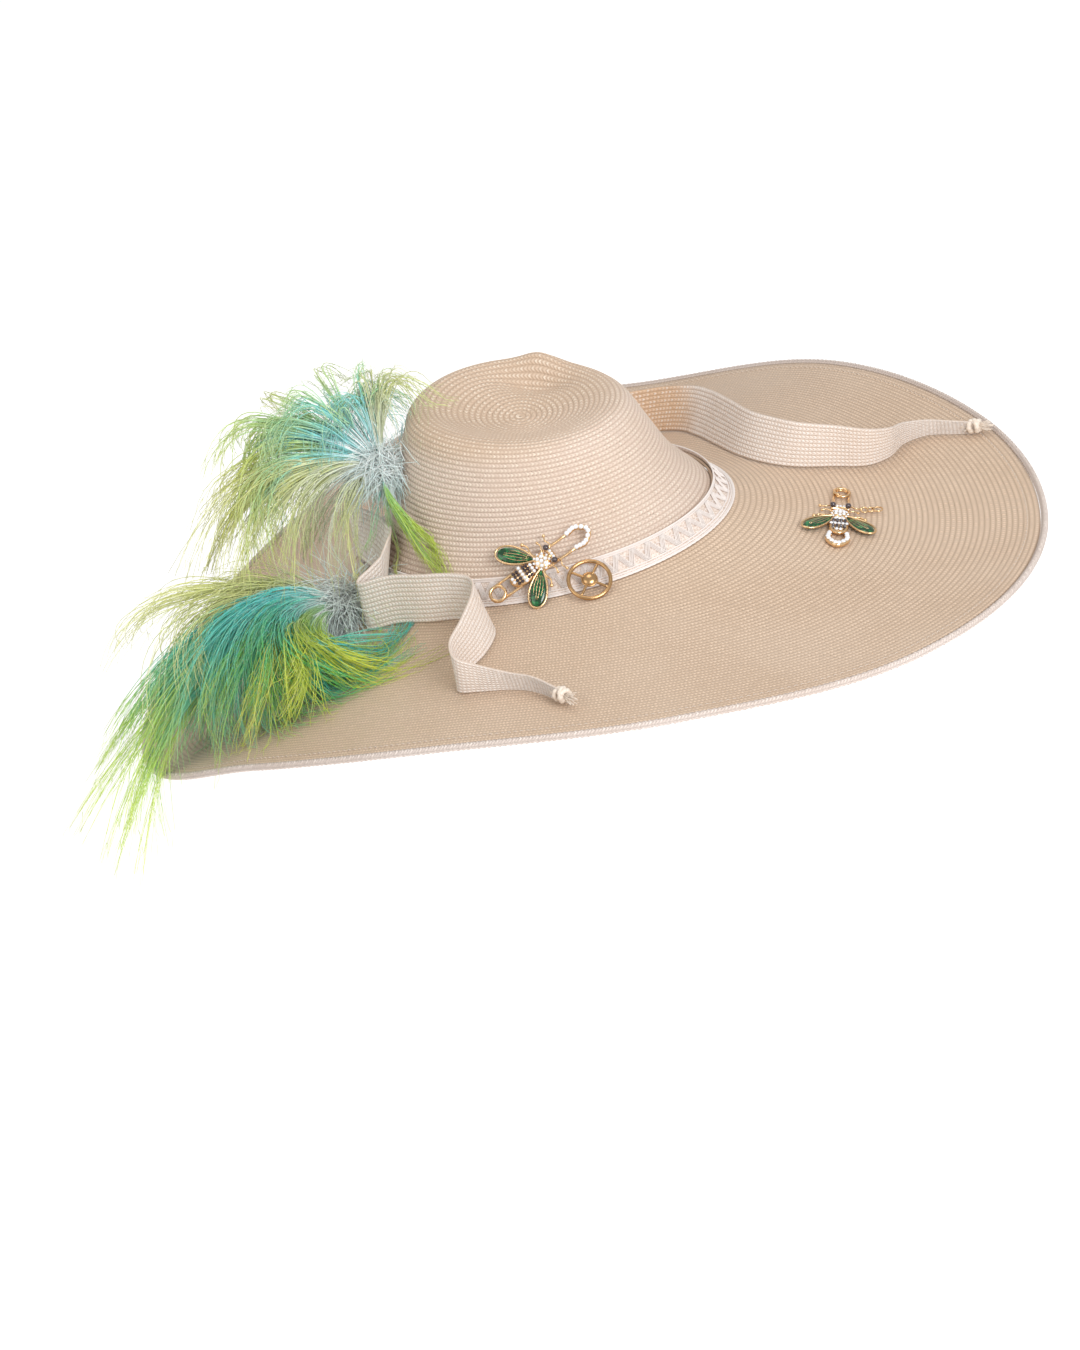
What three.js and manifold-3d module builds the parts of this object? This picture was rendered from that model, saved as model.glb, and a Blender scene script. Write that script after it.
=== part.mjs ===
// A wide-brimmed straw hat: crown, brim, hem, lace band, two straw ribbons, plumes and three pins.
// Millimetres. +Z points up out of the crown, the wearer faces -Y and the wearer's left is +X.
// The origin is the centre of the head opening, level with the lower edge of the lace band.
import * as THREE from 'three';
import { mergeVertices } from 'three/addons/utils/BufferGeometryUtils.js';
import Module from 'manifold-3d';

const wasm = await Module();
wasm.setup();

// Crown: its outside at the top of the band, and its height over the lower edge of the band.
const HEAD_LENGTH = 206;
const HEAD_WIDTH = 170;
const CROWN_HEIGHT = 86;
const CROWN_LEAN = 3;
const TIP_TILT = 10;
const TIP_HIGH_SIDE = 65;

// Straw cloth, and the clearance that touching pieces keep.
const STRAW = 1.8;
const CLEARANCE = 0.45;

// Band: the flare between crown and brim, and the lace that lies on it.
const FLARE_HEIGHT = 11;
const FLARE_REACH = 12;
const LACE_THICKNESS = 1.1;
const LACE_OVERLAP = 1.5;

// Brim: its width at the front, how deep its edge hangs, and the hem round its edge.
const BRIM_WIDTH = 175;
const BRIM_DROP = 60;
const HEM_RADIUS = 2;
const HEM_SIDES = 5;

// Every ring of the crown, brim, lace and hem has this many points.
const RING_POINTS = 40;

// Rows of the crown from its foot to the tip's centre: height as a share of the crown's, distance from
// the axis as a share of the band's ellipse, and how much of the tip's folds the row takes.
const CROWN_ROWS = [
  { rise: 0.02, spread: 1.03, fold: 0 },
  { rise: 0.127, spread: 1.0, fold: 0 },
  { rise: 0.28, spread: 0.9, fold: 0 },
  { rise: 0.42, spread: 0.82, fold: 0 },
  { rise: 0.7, spread: 0.72, fold: 0 },
  { rise: 0.82, spread: 0.68, fold: 0 },
  { rise: 0.91, spread: 0.645, fold: 0.2 },
  { rise: 0.97, spread: 0.6, fold: 0.6 },
  { rise: 1.0, spread: 0.53, fold: 1 },
  { rise: 0.99, spread: 0.45, fold: 1 },
  { rise: 0.97, spread: 0.36, fold: 1 },
  { rise: 0.955, spread: 0.25, fold: 1 },
  { rise: 0.95, spread: 0.12, fold: 1 },
  { rise: 0.95, spread: 0, fold: 1 },
];
const BROW_SPREAD = 0.53;

// Folds of the tip: place and size as shares of the head's width, rise as a share of the crown's height.
const TIP_FOLDS = [
  { across: -0.05, along: 0.0, spanAcross: 0.17, spanAlong: 0.26, rise: -0.1 },
  { across: 0.18, along: -0.03, spanAcross: 0.05, spanAlong: 0.13, rise: -0.09 },
  { across: 0.28, along: -0.05, spanAcross: 0.05, spanAlong: 0.075, rise: 0.06 },
];

// Edge of the brim: reach beyond the band as a share of the brim's width, drop as a share of the brim's.
const BRIM_EDGE = [
  { degrees: 0, reach: 0.885, drop: 0.4 },
  { degrees: 30, reach: 0.905, drop: 0.27 },
  { degrees: 60, reach: 0.79, drop: 0.6 },
  { degrees: 90, reach: 0.81, drop: 1.0 },
  { degrees: 120, reach: 0.88, drop: 1.0 },
  { degrees: 150, reach: 0.84, drop: 0.38 },
  { degrees: 180, reach: 0.83, drop: 0.13 },
  { degrees: 210, reach: 0.89, drop: 0.25 },
  { degrees: 240, reach: 0.98, drop: 0.56 },
  { degrees: 270, reach: 1.0, drop: 0.71 },
  { degrees: 300, reach: 0.96, drop: 0.48 },
  { degrees: 330, reach: 0.92, drop: 0.25 },
];
// Rows of the flare, as shares of its reach and height, then rows of the brim, as shares of its reach.
const FLARE_ROWS = [
  { out: 0, up: 1 },
  { out: 0.25, up: 0.62 },
  { out: 0.6, up: 0.26 },
  { out: 1, up: 0 },
];
const BRIM_ROWS = [0.1, 0.22, 0.36, 0.52, 0.68, 0.84, 1];

// Ribbons: braided straw standing on edge on the brim. Each row is a place of the lower edge on the brim, by
// its angle and its share of the reach there, the width there as a share of the ribbon's, and how far the
// upper edge leans out and round the hat, as shares of that width.
const RIBBON_WIDTH = 30;
const RIBBON_THICKNESS = 1.4;
const RIBBON_STAND = 1;
// A ribbon that crosses the lace rises by this much, from this far outside the lace.
const LACE_RISE = 2.8 * (LACE_THICKNESS + CLEARANCE);
const LACE_FOOT = 6;
const RIBBON_STEPS = 2;
const KNOT_RADIUS = 4.2;
const SIDE_RIBBON = [
  { degrees: 93.5, out: 0.04, width: 1, leanOut: -0.07, leanRound: -0.3 },
  { degrees: 103, out: -0.01, width: 1, leanOut: -0.35, leanRound: -0.2 },
  { degrees: 112, out: -0.03, width: 1, leanOut: -0.5, leanRound: -0.1 },
  { degrees: 121, out: -0.03, width: 1, leanOut: -0.48, leanRound: -0.1 },
  { degrees: 126.5, out: -0.03, width: 1, leanOut: -0.42, leanRound: -0.1 },
  { degrees: 130.5, out: 0, width: 1, leanOut: -0.3, leanRound: 0 },
  { degrees: 133, out: 0.07, width: 1, leanOut: -0.15, leanRound: 0 },
  { degrees: 133.5, out: 0.13, width: 1, leanOut: -0.1, leanRound: -0.04 },
  { degrees: 137, out: 0.15, width: 1, leanOut: -0.07, leanRound: -0.07 },
  { degrees: 146, out: 0.11, width: 1, leanOut: -0.1, leanRound: -0.07 },
  { degrees: 156.5, out: 0.1, width: 1, leanOut: -0.09, leanRound: -0.04 },
  { degrees: 167.5, out: 0.09, width: 1, leanOut: 0, leanRound: 0 },
  { degrees: 176.5, out: 0.13, width: 1, leanOut: 0, leanRound: -0.1 },
  { degrees: 180.5, out: 0.22, width: 1, leanOut: 0.1, leanRound: -0.2 },
  { degrees: 180, out: 0.36, width: 0.97, leanOut: 0.3, leanRound: -0.2 },
  { degrees: 177.5, out: 0.5, width: 0.9, leanOut: 0.3, leanRound: 0 },
  { degrees: 178, out: 0.62, width: 0.8, leanOut: 0.14, leanRound: 0.2 },
  { degrees: 182.5, out: 0.64, width: 0.6, leanOut: 0.1, leanRound: 0.1 },
  { degrees: 188, out: 0.65, width: 0.42, leanOut: 0.2, leanRound: 0 },
  { degrees: 192, out: 0.69, width: 0.38, leanOut: 0.2, leanRound: 0 },
  { degrees: 196, out: 0.79, width: 0.32, leanOut: 0.2, leanRound: 0 },
];
const FRONT_RIBBON = [
  { degrees: 5, out: 0.12, width: 1, leanOut: 0.1, leanRound: -0.1 },
  { degrees: -4.5, out: 0.21, width: 1, leanOut: 0.12, leanRound: -0.2 },
  { degrees: -13.5, out: 0.27, width: 1, leanOut: 0.17, leanRound: -0.27 },
  { degrees: -22.5, out: 0.26, width: 1, leanOut: 0.34, leanRound: -0.29 },
  { degrees: -31, out: 0.21, width: 1, leanOut: 0.46, leanRound: -0.19 },
  { degrees: -41, out: 0.16, width: 1, leanOut: 0.46, leanRound: -0.15 },
  { degrees: -52, out: 0.14, width: 1, leanOut: 0.42, leanRound: -0.2 },
  { degrees: -60, out: 0.18, width: 1, leanOut: 0.4, leanRound: -0.11 },
  { degrees: -64, out: 0.26, width: 1, leanOut: 0.27, leanRound: -0.13 },
  { degrees: -65.5, out: 0.39, width: 0.97, leanOut: 0.19, leanRound: -0.19 },
  { degrees: -66.5, out: 0.5, width: 0.9, leanOut: 0.12, leanRound: -0.22 },
  { degrees: -64.5, out: 0.6, width: 0.75, leanOut: 0.1, leanRound: -0.27 },
  { degrees: -61, out: 0.69, width: 0.55, leanOut: 0.08, leanRound: -0.27 },
  { degrees: -60, out: 0.79, width: 0.4, leanOut: 0.07, leanRound: -0.27 },
  { degrees: -61.5, out: 0.87, width: 0.34, leanOut: 0, leanRound: -0.22 },
  { degrees: -63, out: 0.94, width: 0.3, leanOut: 0, leanRound: -0.22 },
];

// Plumes: locks of feather from a round root. Arch is how far a lock's middle rises, sway how far it swings
// to the left of its way out.
const LOCK_RADIUS = 8;
const LOCK_SIDES = 4;
const LOCK_STATIONS = 5;
// The low plume lies on the brim. A tip's place is on the brim, or past its edge where out is over 1, and
// its lift, arch and sway are shares of the plume's loft.
const LOW_PLUME_LOFT = 100;
const LOW_PLUME_ROOT = { degrees: 119, out: 0.12 };
const LOW_PLUME_LOCKS = [
  { degrees: 126, out: 1.38, lift: -0.4, arch: 0.66, sway: 0.05, girth: 1 },
  { degrees: 124, out: 1.34, lift: 0.02, arch: 0.62, sway: 0, girth: 1 },
  { degrees: 119, out: 1.07, lift: 0.76, arch: 0.4, sway: 0, girth: 0.9 },
  { degrees: 121, out: 0.66, lift: 0.7, arch: 0.22, sway: 0, girth: 1 },
  { degrees: 126, out: 1.02, lift: 0.22, arch: 0.62, sway: 0, girth: 1.2 },
  { degrees: 132, out: 0.9, lift: 0.22, arch: 0.62, sway: 0, girth: 1.3 },
  { degrees: 144, out: 0.84, lift: 0.2, arch: 0.48, sway: -0.2, girth: 1.2 },
  { degrees: 154, out: 0.83, lift: 0.21, arch: 0.4, sway: -0.44, girth: 1 },
  { degrees: 163, out: 0.75, lift: 0.19, arch: 0.31, sway: -0.66, girth: 0.9 },
  { degrees: 168, out: 0.35, lift: 0.12, arch: 0.08, sway: -0.92, girth: 0.6 },
];
// The high plume stands on a stem by the crown. A tip's reach past the band's ellipse, its rise over the
// root, its arch and its sway are shares of the plume's length.
const HIGH_PLUME_LENGTH = 220;
const STEM_RADIUS = 2.5;
const STEM_LENGTH = 24;
const STEM_PLACE = { degrees: 109, rise: 0.45 };
const HIGH_PLUME_LOCKS = [
  { degrees: 84, reach: -0.155, rise: 0.3, arch: 0.12, sway: 0, girth: 0.9 },
  { degrees: 91, reach: -0.05, rise: 0.3, arch: 0.06, sway: 0, girth: 0.9 },
  { degrees: 96, reach: 0.14, rise: 0.3, arch: 0.1, sway: 0, girth: 1 },
  { degrees: 101.5, reach: 0.32, rise: 0.22, arch: 0.14, sway: 0, girth: 1 },
  { degrees: 104, reach: 0.42, rise: 0.17, arch: 0.14, sway: 0, girth: 1 },
  { degrees: 109, reach: 0.44, rise: 0, arch: 0.18, sway: 0, girth: 1 },
  { degrees: 112, reach: 0.5, rise: -0.09, arch: 0.2, sway: 0, girth: 1.1 },
  { degrees: 113, reach: 0.32, rise: -0.08, arch: 0.14, sway: 0, girth: 1.1 },
  { degrees: 151.5, reach: 0.04, rise: -0.17, arch: 0.03, sway: -0.1, girth: 0.7 },
];

// Pins. The leaning ones rest across the flare, between a place on the brim and one on the crown: along is
// the share of the way up between the two. The lying one rests on the brim. Heading is the turn of a pin's
// length from level, and stand its height over its rest.
const SIDE_BEE = { degrees: 194.4, out: 0.02, rise: 0.42, along: 0.49, stand: 3, heading: 24 };
const RING_PIN = { degrees: 209, out: 0.06, rise: 0.28, along: 0.26, stand: 2.8, heading: 0 };
const FRONT_BEE = { degrees: 272.6, out: 0.343, stand: 2, heading: 9 };
const RING_PIN_RADIUS = 12;

// Bee, in its own plane: the pin's length runs along x, the face looks along z.
const PIN_LENGTH = 60;
const PIN_GAP = 10;
const WIRE_RADIUS = 0.9;
const COIL_RADIUS = 4.5;
const WING_LENGTH = 24;
const WING_WIDTH = 10;
const WING_SWEEP = 133;
const WING_RIM = 0.9;
const THORAX_RADIUS = 5.4;
const ABDOMEN_LENGTH = 17;
const ABDOMEN_WIDTH = 11.5;
const EYE_SPREAD = 9;
const LEG_REACH = 15;
const FEELER_REACH = 12;
const EYE_RADIUS = 1.6;
const STONE_RADIUS = 1.25;
const BODY_BASE = 2;

const toAngle = THREE.MathUtils.degToRad;
const UP = new THREE.Vector3(0, 0, 1);

/** The distance from the axis to the outside of the crown, at an angle from +X, at the top of the band. */
function headRadius(angle) {
  const across = HEAD_WIDTH / 2;
  const along = HEAD_LENGTH / 2;
  return (across * along) / Math.hypot(along * Math.cos(angle), across * Math.sin(angle));
}

/** A column of a table whose rows go round the hat evenly, read smoothly at any angle. */
function readAround(table, column, angle) {
  const count = table.length;
  const place = (((angle / (2 * Math.PI)) % 1) + 1) * count;
  const row = Math.floor(place);
  const share = place - row;
  const [a, b, c, d] = [-1, 0, 1, 2].map((step) => table[(row + step + count) % count][column]);
  return b + 0.5 * share * (c - a + share * (2 * a - 5 * b + 4 * c - d + share * (3 * (b - c) + d - a)));
}

/** A point at an angle, a distance from the axis and a height. */
function polar(angle, radius, height) {
  return new THREE.Vector3(radius * Math.cos(angle), radius * Math.sin(angle), height);
}

/** A closed ring of points, from a function of the angle. */
function ring(pointAt) {
  return Array.from({ length: RING_POINTS }, (_, i) => pointAt((2 * Math.PI * i) / RING_POINTS));
}

/** How much the folds of the tip raise or sink it at a place. */
function tipFold(x, y) {
  return TIP_FOLDS.reduce((sum, fold) => {
    const across = (x / HEAD_WIDTH - fold.across) / fold.spanAcross;
    const along = (y / HEAD_WIDTH - fold.along) / fold.spanAlong;
    return sum + fold.rise * CROWN_HEIGHT * Math.exp(-across * across - along * along);
  }, 0);
}

/** A point of the crown's outside, in one of its rows. */
function crownPoint(row, angle) {
  const radius = headRadius(angle) * row.spread;
  const tilt = TIP_TILT * Math.cos(angle - toAngle(TIP_HIGH_SIDE)) * Math.min(1, row.spread / BROW_SPREAD);
  const point = polar(angle, radius, (CROWN_HEIGHT + tilt) * row.rise);
  point.y -= CROWN_LEAN * row.rise;
  point.z += row.fold * tipFold(point.x, point.y);
  return point;
}

/** A row of the crown's wall at any height. */
function wallRow(rise) {
  const next = CROWN_ROWS.findIndex((row) => row.rise >= rise);
  const [before, after] = [CROWN_ROWS[next - 1], CROWN_ROWS[next]];
  const share = (rise - before.rise) / (after.rise - before.rise);
  return { rise, spread: before.spread + share * (after.spread - before.spread), fold: 0 };
}

/** A point of the brim's upper side: out is the distance past the band as a share of the reach there. */
function brimPoint(angle, out) {
  const reach = BRIM_WIDTH * readAround(BRIM_EDGE, 'reach', angle);
  const drop = BRIM_DROP * readAround(BRIM_EDGE, 'drop', angle);
  const radius = headRadius(angle) + FLARE_REACH + out * reach;
  return polar(angle, radius, -drop * (1 - Math.max(0, 1 - out) ** 1.7));
}

/** A point of the flare between crown and brim, clear of the crown by the clearance. */
function flarePoint(row, angle) {
  const start = CLEARANCE + STRAW;
  const radius = headRadius(angle) + start + row.out * (FLARE_REACH - start);
  return polar(angle, radius, row.up * FLARE_HEIGHT);
}

/** Unit normals of a sheet of rings, pointing out of the hat where the rings run from the inside out. */
function ringNormals(rings) {
  const last = rings.length - 1;
  return rings.map((points, i) =>
    points.map((_, j) => {
      const before = rings[Math.max(i - 1, 0)][j];
      const after = rings[Math.min(i + 1, last)][j];
      const left = points[(j + RING_POINTS - 1) % RING_POINTS];
      const right = points[(j + 1) % RING_POINTS];
      const along = after.clone().sub(before);
      const round = right.clone().sub(left);
      if (round.length() < 1e-6) return new THREE.Vector3(0, 0, 1);
      return along.cross(round).normalize();
    }),
  );
}

/** The same rings, moved along their normals. */
function offsetRings(rings, distance) {
  const normals = ringNormals(rings);
  return rings.map((points, i) => points.map((point, j) => point.clone().addScaledVector(normals[i][j], distance)));
}

/** A geometry from points and triangles, with shared vertices and no normals. */
function geometryOf(points, triangles) {
  const geometry = new THREE.BufferGeometry();
  geometry.setAttribute('position', new THREE.Float32BufferAttribute(points.flatMap((p) => [p.x, p.y, p.z]), 3));
  geometry.setIndex(triangles);
  return geometry;
}

/** A closed wall between an upper and a lower sheet of rings that run from the inside out. */
function wallBetween(upper, lower) {
  const points = [];
  const triangles = [];
  const closed = upper[0][0].distanceTo(upper[0][1]) < 1e-6;
  const rowsOf = (rings) =>
    rings.map((ringPoints, i) => {
      if (i === 0 && closed) {
        points.push(ringPoints[0]);
        return Array(RING_POINTS).fill(points.length - 1);
      }
      points.push(...ringPoints);
      return ringPoints.map((_, j) => points.length - RING_POINTS + j);
    });
  const quad = (a, b, c, d) => {
    if (a !== d) triangles.push(a, b, d);
    if (b !== c) triangles.push(b, c, d);
  };
  const top = rowsOf(upper);
  const bottom = rowsOf(lower);
  for (let j = 0; j < RING_POINTS; j += 1) {
    const k = (j + 1) % RING_POINTS;
    for (let i = 0; i + 1 < top.length; i += 1) {
      quad(top[i][j], top[i + 1][j], top[i + 1][k], top[i][k]);
      quad(bottom[i][k], bottom[i + 1][k], bottom[i + 1][j], bottom[i][j]);
    }
    const edge = top.length - 1;
    quad(top[edge][j], bottom[edge][j], bottom[edge][k], top[edge][k]);
    if (!closed) quad(top[0][k], bottom[0][k], bottom[0][j], top[0][j]);
  }
  return geometryOf(points, triangles);
}

/** A wall under a sheet of rings, as thick as straw. */
const strawWall = (rings) => wallBetween(rings, offsetRings(rings, -STRAW));

const crownRings = [...CROWN_ROWS].reverse().map((row) => ring((angle) => crownPoint(row, angle)));
const flareRings = FLARE_ROWS.map((row) => ring((angle) => flarePoint(row, angle)));
const brimRings = BRIM_ROWS.map((out) => ring((angle) => brimPoint(angle, out)));

/** A closed ring-shaped tube through a ring of points. */
function hemTube(centres) {
  const points = [];
  const triangles = [];
  const count = centres.length;
  centres.forEach((centre, i) => {
    const ahead = centres[(i + 1) % count].clone().sub(centres[(i + count - 1) % count]).normalize();
    const outward = ahead.clone().cross(new THREE.Vector3(0, 0, 1)).normalize();
    const upward = outward.clone().cross(ahead);
    for (let j = 0; j < HEM_SIDES; j += 1) {
      const turn = (2 * Math.PI * j) / HEM_SIDES;
      const side = outward.clone().multiplyScalar(Math.cos(turn)).addScaledVector(upward, Math.sin(turn));
      points.push(centre.clone().addScaledVector(side, HEM_RADIUS));
    }
    for (let j = 0; j < HEM_SIDES; j += 1) {
      const a = i * HEM_SIDES + j;
      const b = i * HEM_SIDES + ((j + 1) % HEM_SIDES);
      const c = ((i + 1) % count) * HEM_SIDES + j;
      const d = ((i + 1) % count) * HEM_SIDES + ((j + 1) % HEM_SIDES);
      triangles.push(a, c, b, b, c, d);
    }
  });
  return geometryOf(points, triangles);
}

const hat = new THREE.Group();

/** Adds a named piece with its own material to the hat. */
function addPiece(name, geometry, finish) {
  const mesh = new THREE.Mesh(geometry, new THREE.MeshStandardMaterial(finish));
  mesh.name = name;
  hat.add(mesh);
  return mesh;
}

/** A solid for joining, from a closed geometry. */
function toSolid(geometry) {
  const bare = geometry.clone();
  bare.deleteAttribute('normal');
  bare.deleteAttribute('uv');
  const merged = mergeVertices(bare, 1e-4);
  return new wasm.Manifold(
    new wasm.Mesh({
      numProp: 3,
      vertProperties: new Float32Array(merged.attributes.position.array),
      triVerts: new Uint32Array(merged.index.array),
    }),
  );
}

/** Several closed geometries joined into one body. */
function fuse(geometries) {
  const joined = wasm.Manifold.union(geometries.map(toSolid)).getMesh();
  const geometry = new THREE.BufferGeometry();
  geometry.setAttribute('position', new THREE.BufferAttribute(joined.vertProperties, 3));
  geometry.setIndex(new THREE.BufferAttribute(joined.triVerts, 1));
  return geometry;
}

/** A closed round bar along a curve, whose radius is a function of the share of the way along. */
function bar(curve, radiusAt, stations, sides) {
  const points = [];
  const triangles = [];
  const frames = curve.computeFrenetFrames(stations, false);
  for (let i = 0; i <= stations; i += 1) {
    const centre = curve.getPointAt(i / stations);
    for (let j = 0; j < sides; j += 1) {
      const turn = (2 * Math.PI * j) / sides;
      const side = frames.normals[i].clone().multiplyScalar(Math.cos(turn));
      side.addScaledVector(frames.binormals[i], Math.sin(turn));
      points.push(centre.clone().addScaledVector(side, radiusAt(i / stations)));
    }
  }
  for (let i = 0; i < stations; i += 1) {
    for (let j = 0; j < sides; j += 1) {
      const a = i * sides + j;
      const b = i * sides + ((j + 1) % sides);
      triangles.push(a, b, a + sides, b, b + sides, a + sides);
    }
  }
  const last = stations * sides;
  for (let j = 1; j + 1 < sides; j += 1) {
    triangles.push(0, j + 1, j, last, last + j, last + j + 1);
  }
  return geometryOf(points, triangles);
}

/** A straight round bar between two points. */
function rod(from, to, radius, sides) {
  return bar(new THREE.LineCurve3(from, to), () => radius, 1, sides);
}

/** The height of the hat's upper side over the lace or the brim, at a place. */
function brimHeight(x, y) {
  const angle = Math.atan2(y, x);
  const past = Math.hypot(x, y) - headRadius(angle) - FLARE_REACH;
  const reach = BRIM_WIDTH * readAround(BRIM_EDGE, 'reach', angle);
  const lace = LACE_RISE * Math.max(0, Math.min(1, 1 - past / LACE_FOOT));
  if (past >= 0) return brimPoint(angle, past / reach).z + lace;
  const start = CLEARANCE + STRAW;
  const share = Math.max(0, 1 + past / (FLARE_REACH - start));
  const row = FLARE_ROWS.findIndex((each) => each.out >= share);
  const [before, after] = [FLARE_ROWS[Math.max(row - 1, 0)], FLARE_ROWS[row]];
  const between = row === 0 ? 0 : (share - before.out) / (after.out - before.out);
  return FLARE_HEIGHT * (before.up + between * (after.up - before.up)) + lace;
}

/** A ribbon on edge, through the rows of its table, with a knot at its end. */
function ribbon(rows) {
  const foot = (row) => brimPoint(toAngle(row.degrees), row.out);
  const lean = (row) => {
    const upright = Math.sqrt(1 - row.leanOut ** 2 - row.leanRound ** 2);
    const over = new THREE.Vector3(row.leanOut, row.leanRound, upright).multiplyScalar(row.width * RIBBON_WIDTH);
    return over.applyAxisAngle(UP, toAngle(row.degrees));
  };
  const feet = new THREE.CatmullRomCurve3(rows.map(foot), false, 'catmullrom', 0.5);
  const leans = new THREE.CatmullRomCurve3(rows.map(lean), false, 'catmullrom', 0.5);
  const count = (rows.length - 1) * RIBBON_STEPS;
  const points = [];
  const triangles = [];
  for (let i = 0; i <= count; i += 1) {
    const low = feet.getPoint(i / count);
    low.z = brimHeight(low.x, low.y) + RIBBON_STAND;
    const up = leans.getPoint(i / count);
    const ahead = feet.getTangent(i / count).setZ(0);
    const side = ahead.cross(up).normalize().multiplyScalar(RIBBON_THICKNESS / 2);
    const high = low.clone().add(up);
    points.push(low.clone().add(side), low.clone().sub(side), high.clone().sub(side), high.clone().add(side));
  }
  for (let i = 0; i < count; i += 1) {
    for (let j = 0; j < 4; j += 1) {
      const a = 4 * i + j;
      const b = 4 * i + ((j + 1) % 4);
      triangles.push(a, b, a + 4, b, b + 4, a + 4);
    }
  }
  const last = 4 * count;
  triangles.push(0, 2, 1, 0, 3, 2, last, last + 1, last + 2, last, last + 2, last + 3);
  const strip = geometryOf(points, triangles);
  const end = feet.getPoint(1);
  const ahead = feet.getTangent(1).setZ(0).normalize();
  end.z = brimHeight(end.x, end.y) + RIBBON_STAND + KNOT_RADIUS * 1.3;
  const knot = new THREE.TorusGeometry(KNOT_RADIUS * 0.75, KNOT_RADIUS * 0.55, 6, 8);
  knot.lookAt(ahead);
  knot.translate(end.x, end.y, end.z);
  const tail = rod(end, end.clone().addScaledVector(ahead, KNOT_RADIUS * 2), KNOT_RADIUS * 0.6, 6);
  return fuse([strip, knot, tail]);
}

/** One lock of a plume, from its root to its tip, with its middle raised and swung aside. */
function lock(root, tip, arch, sway, girth) {
  const way = tip.clone().sub(root);
  const left = UP.clone().cross(way).normalize();
  const bend = root.clone().addScaledVector(way, 0.5).addScaledVector(UP, arch).addScaledVector(left, sway);
  const curve = new THREE.QuadraticBezierCurve3(root, bend, tip);
  const swell = (share) => LOCK_RADIUS * girth * (0.1 + 0.9 * Math.sin(Math.PI * (0.3 + 0.7 * share)));
  return bar(curve, swell, LOCK_STATIONS, LOCK_SIDES);
}

/** The round root of a plume. */
function plumeRoot(root) {
  return new THREE.SphereGeometry(LOCK_RADIUS, 8, 5).translate(root.x, root.y, root.z);
}

/** The plume that lies on the brim. */
function lowPlume() {
  const root = brimPoint(toAngle(LOW_PLUME_ROOT.degrees), LOW_PLUME_ROOT.out);
  root.z += LOCK_RADIUS + 2 * CLEARANCE;
  const locks = LOW_PLUME_LOCKS.map((row) => {
    const tip = brimPoint(toAngle(row.degrees), row.out);
    tip.z += row.lift * LOW_PLUME_LOFT;
    return lock(root, tip, row.arch * LOW_PLUME_LOFT, row.sway * LOW_PLUME_LOFT, row.girth);
  });
  return fuse([plumeRoot(root), ...locks]);
}

/** The plume that stands on a stem by the crown. */
function highPlume() {
  const angle = toAngle(STEM_PLACE.degrees);
  const foot = crownPoint(wallRow(STEM_PLACE.rise), angle);
  foot.add(polar(angle, STEM_RADIUS + 1.5 * CLEARANCE, 0));
  const root = foot.clone().addScaledVector(UP, STEM_LENGTH);
  const locks = HIGH_PLUME_LOCKS.map((row) => {
    const turn = toAngle(row.degrees);
    const tip = polar(turn, headRadius(turn) + row.reach * HIGH_PLUME_LENGTH, root.z + row.rise * HIGH_PLUME_LENGTH);
    return lock(root, tip, row.arch * HIGH_PLUME_LENGTH, row.sway * HIGH_PLUME_LENGTH, row.girth);
  });
  return fuse([plumeRoot(root), rod(foot, root, STEM_RADIUS, 6), ...locks]);
}

/** The turn and place of a pin's own plane, from its middle, the way its face looks and its heading. */
function pinPlace(middle, out, heading) {
  const level = UP.clone().cross(out).normalize();
  const uphill = out.clone().cross(level);
  const ahead = level.clone().multiplyScalar(Math.cos(heading)).addScaledVector(uphill, Math.sin(heading));
  return new THREE.Matrix4().makeBasis(ahead, out.clone().cross(ahead), out).setPosition(middle);
}

/** The place of a pin that leans across the flare, from the brim to the crown. */
function leaningPlace(row) {
  const angle = toAngle(row.degrees);
  const low = brimPoint(angle, row.out);
  const high = crownPoint(wallRow(row.rise), angle);
  const up = high.clone().sub(low).normalize();
  const round = polar(angle + Math.PI / 2, 1, 0);
  const out = round.clone().cross(up).normalize();
  const middle = low.clone().lerp(high, row.along).addScaledVector(out, row.stand);
  return pinPlace(middle, out, toAngle(row.heading));
}

/** The place of a pin that lies on the brim. */
function lyingPlace(row) {
  const angle = toAngle(row.degrees);
  const place = brimPoint(angle, row.out);
  const round = brimPoint(angle + 0.05, row.out).sub(brimPoint(angle - 0.05, row.out));
  const reach = brimPoint(angle, row.out + 0.05).sub(brimPoint(angle, row.out - 0.05));
  const out = reach.cross(round).normalize();
  return pinPlace(place.addScaledVector(out, row.stand), out, toAngle(row.heading));
}

const at = (x, y, z) => new THREE.Vector3(x, y, z);

/** The outline of a wing of a length and width, its point at the start and its round end ahead. */
function wingOutline(length, width) {
  const points = Array.from({ length: 10 }, (_, i) => {
    const turn = (2 * Math.PI * i) / 10;
    const out = (length / 2) * (1 - Math.cos(turn));
    return new THREE.Vector2(out, width * 0.66 * Math.sin(turn) * Math.sin(turn / 2) ** 0.8);
  });
  return points;
}

/** A wing's geometry, turned to its side of the bee: -1 right, 1 left. */
function turnWing(geometry, side, height) {
  geometry.rotateZ(side * toAngle(WING_SWEEP));
  geometry.translate(-1, side * THORAX_RADIUS * 0.55, height);
  return geometry;
}

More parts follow.
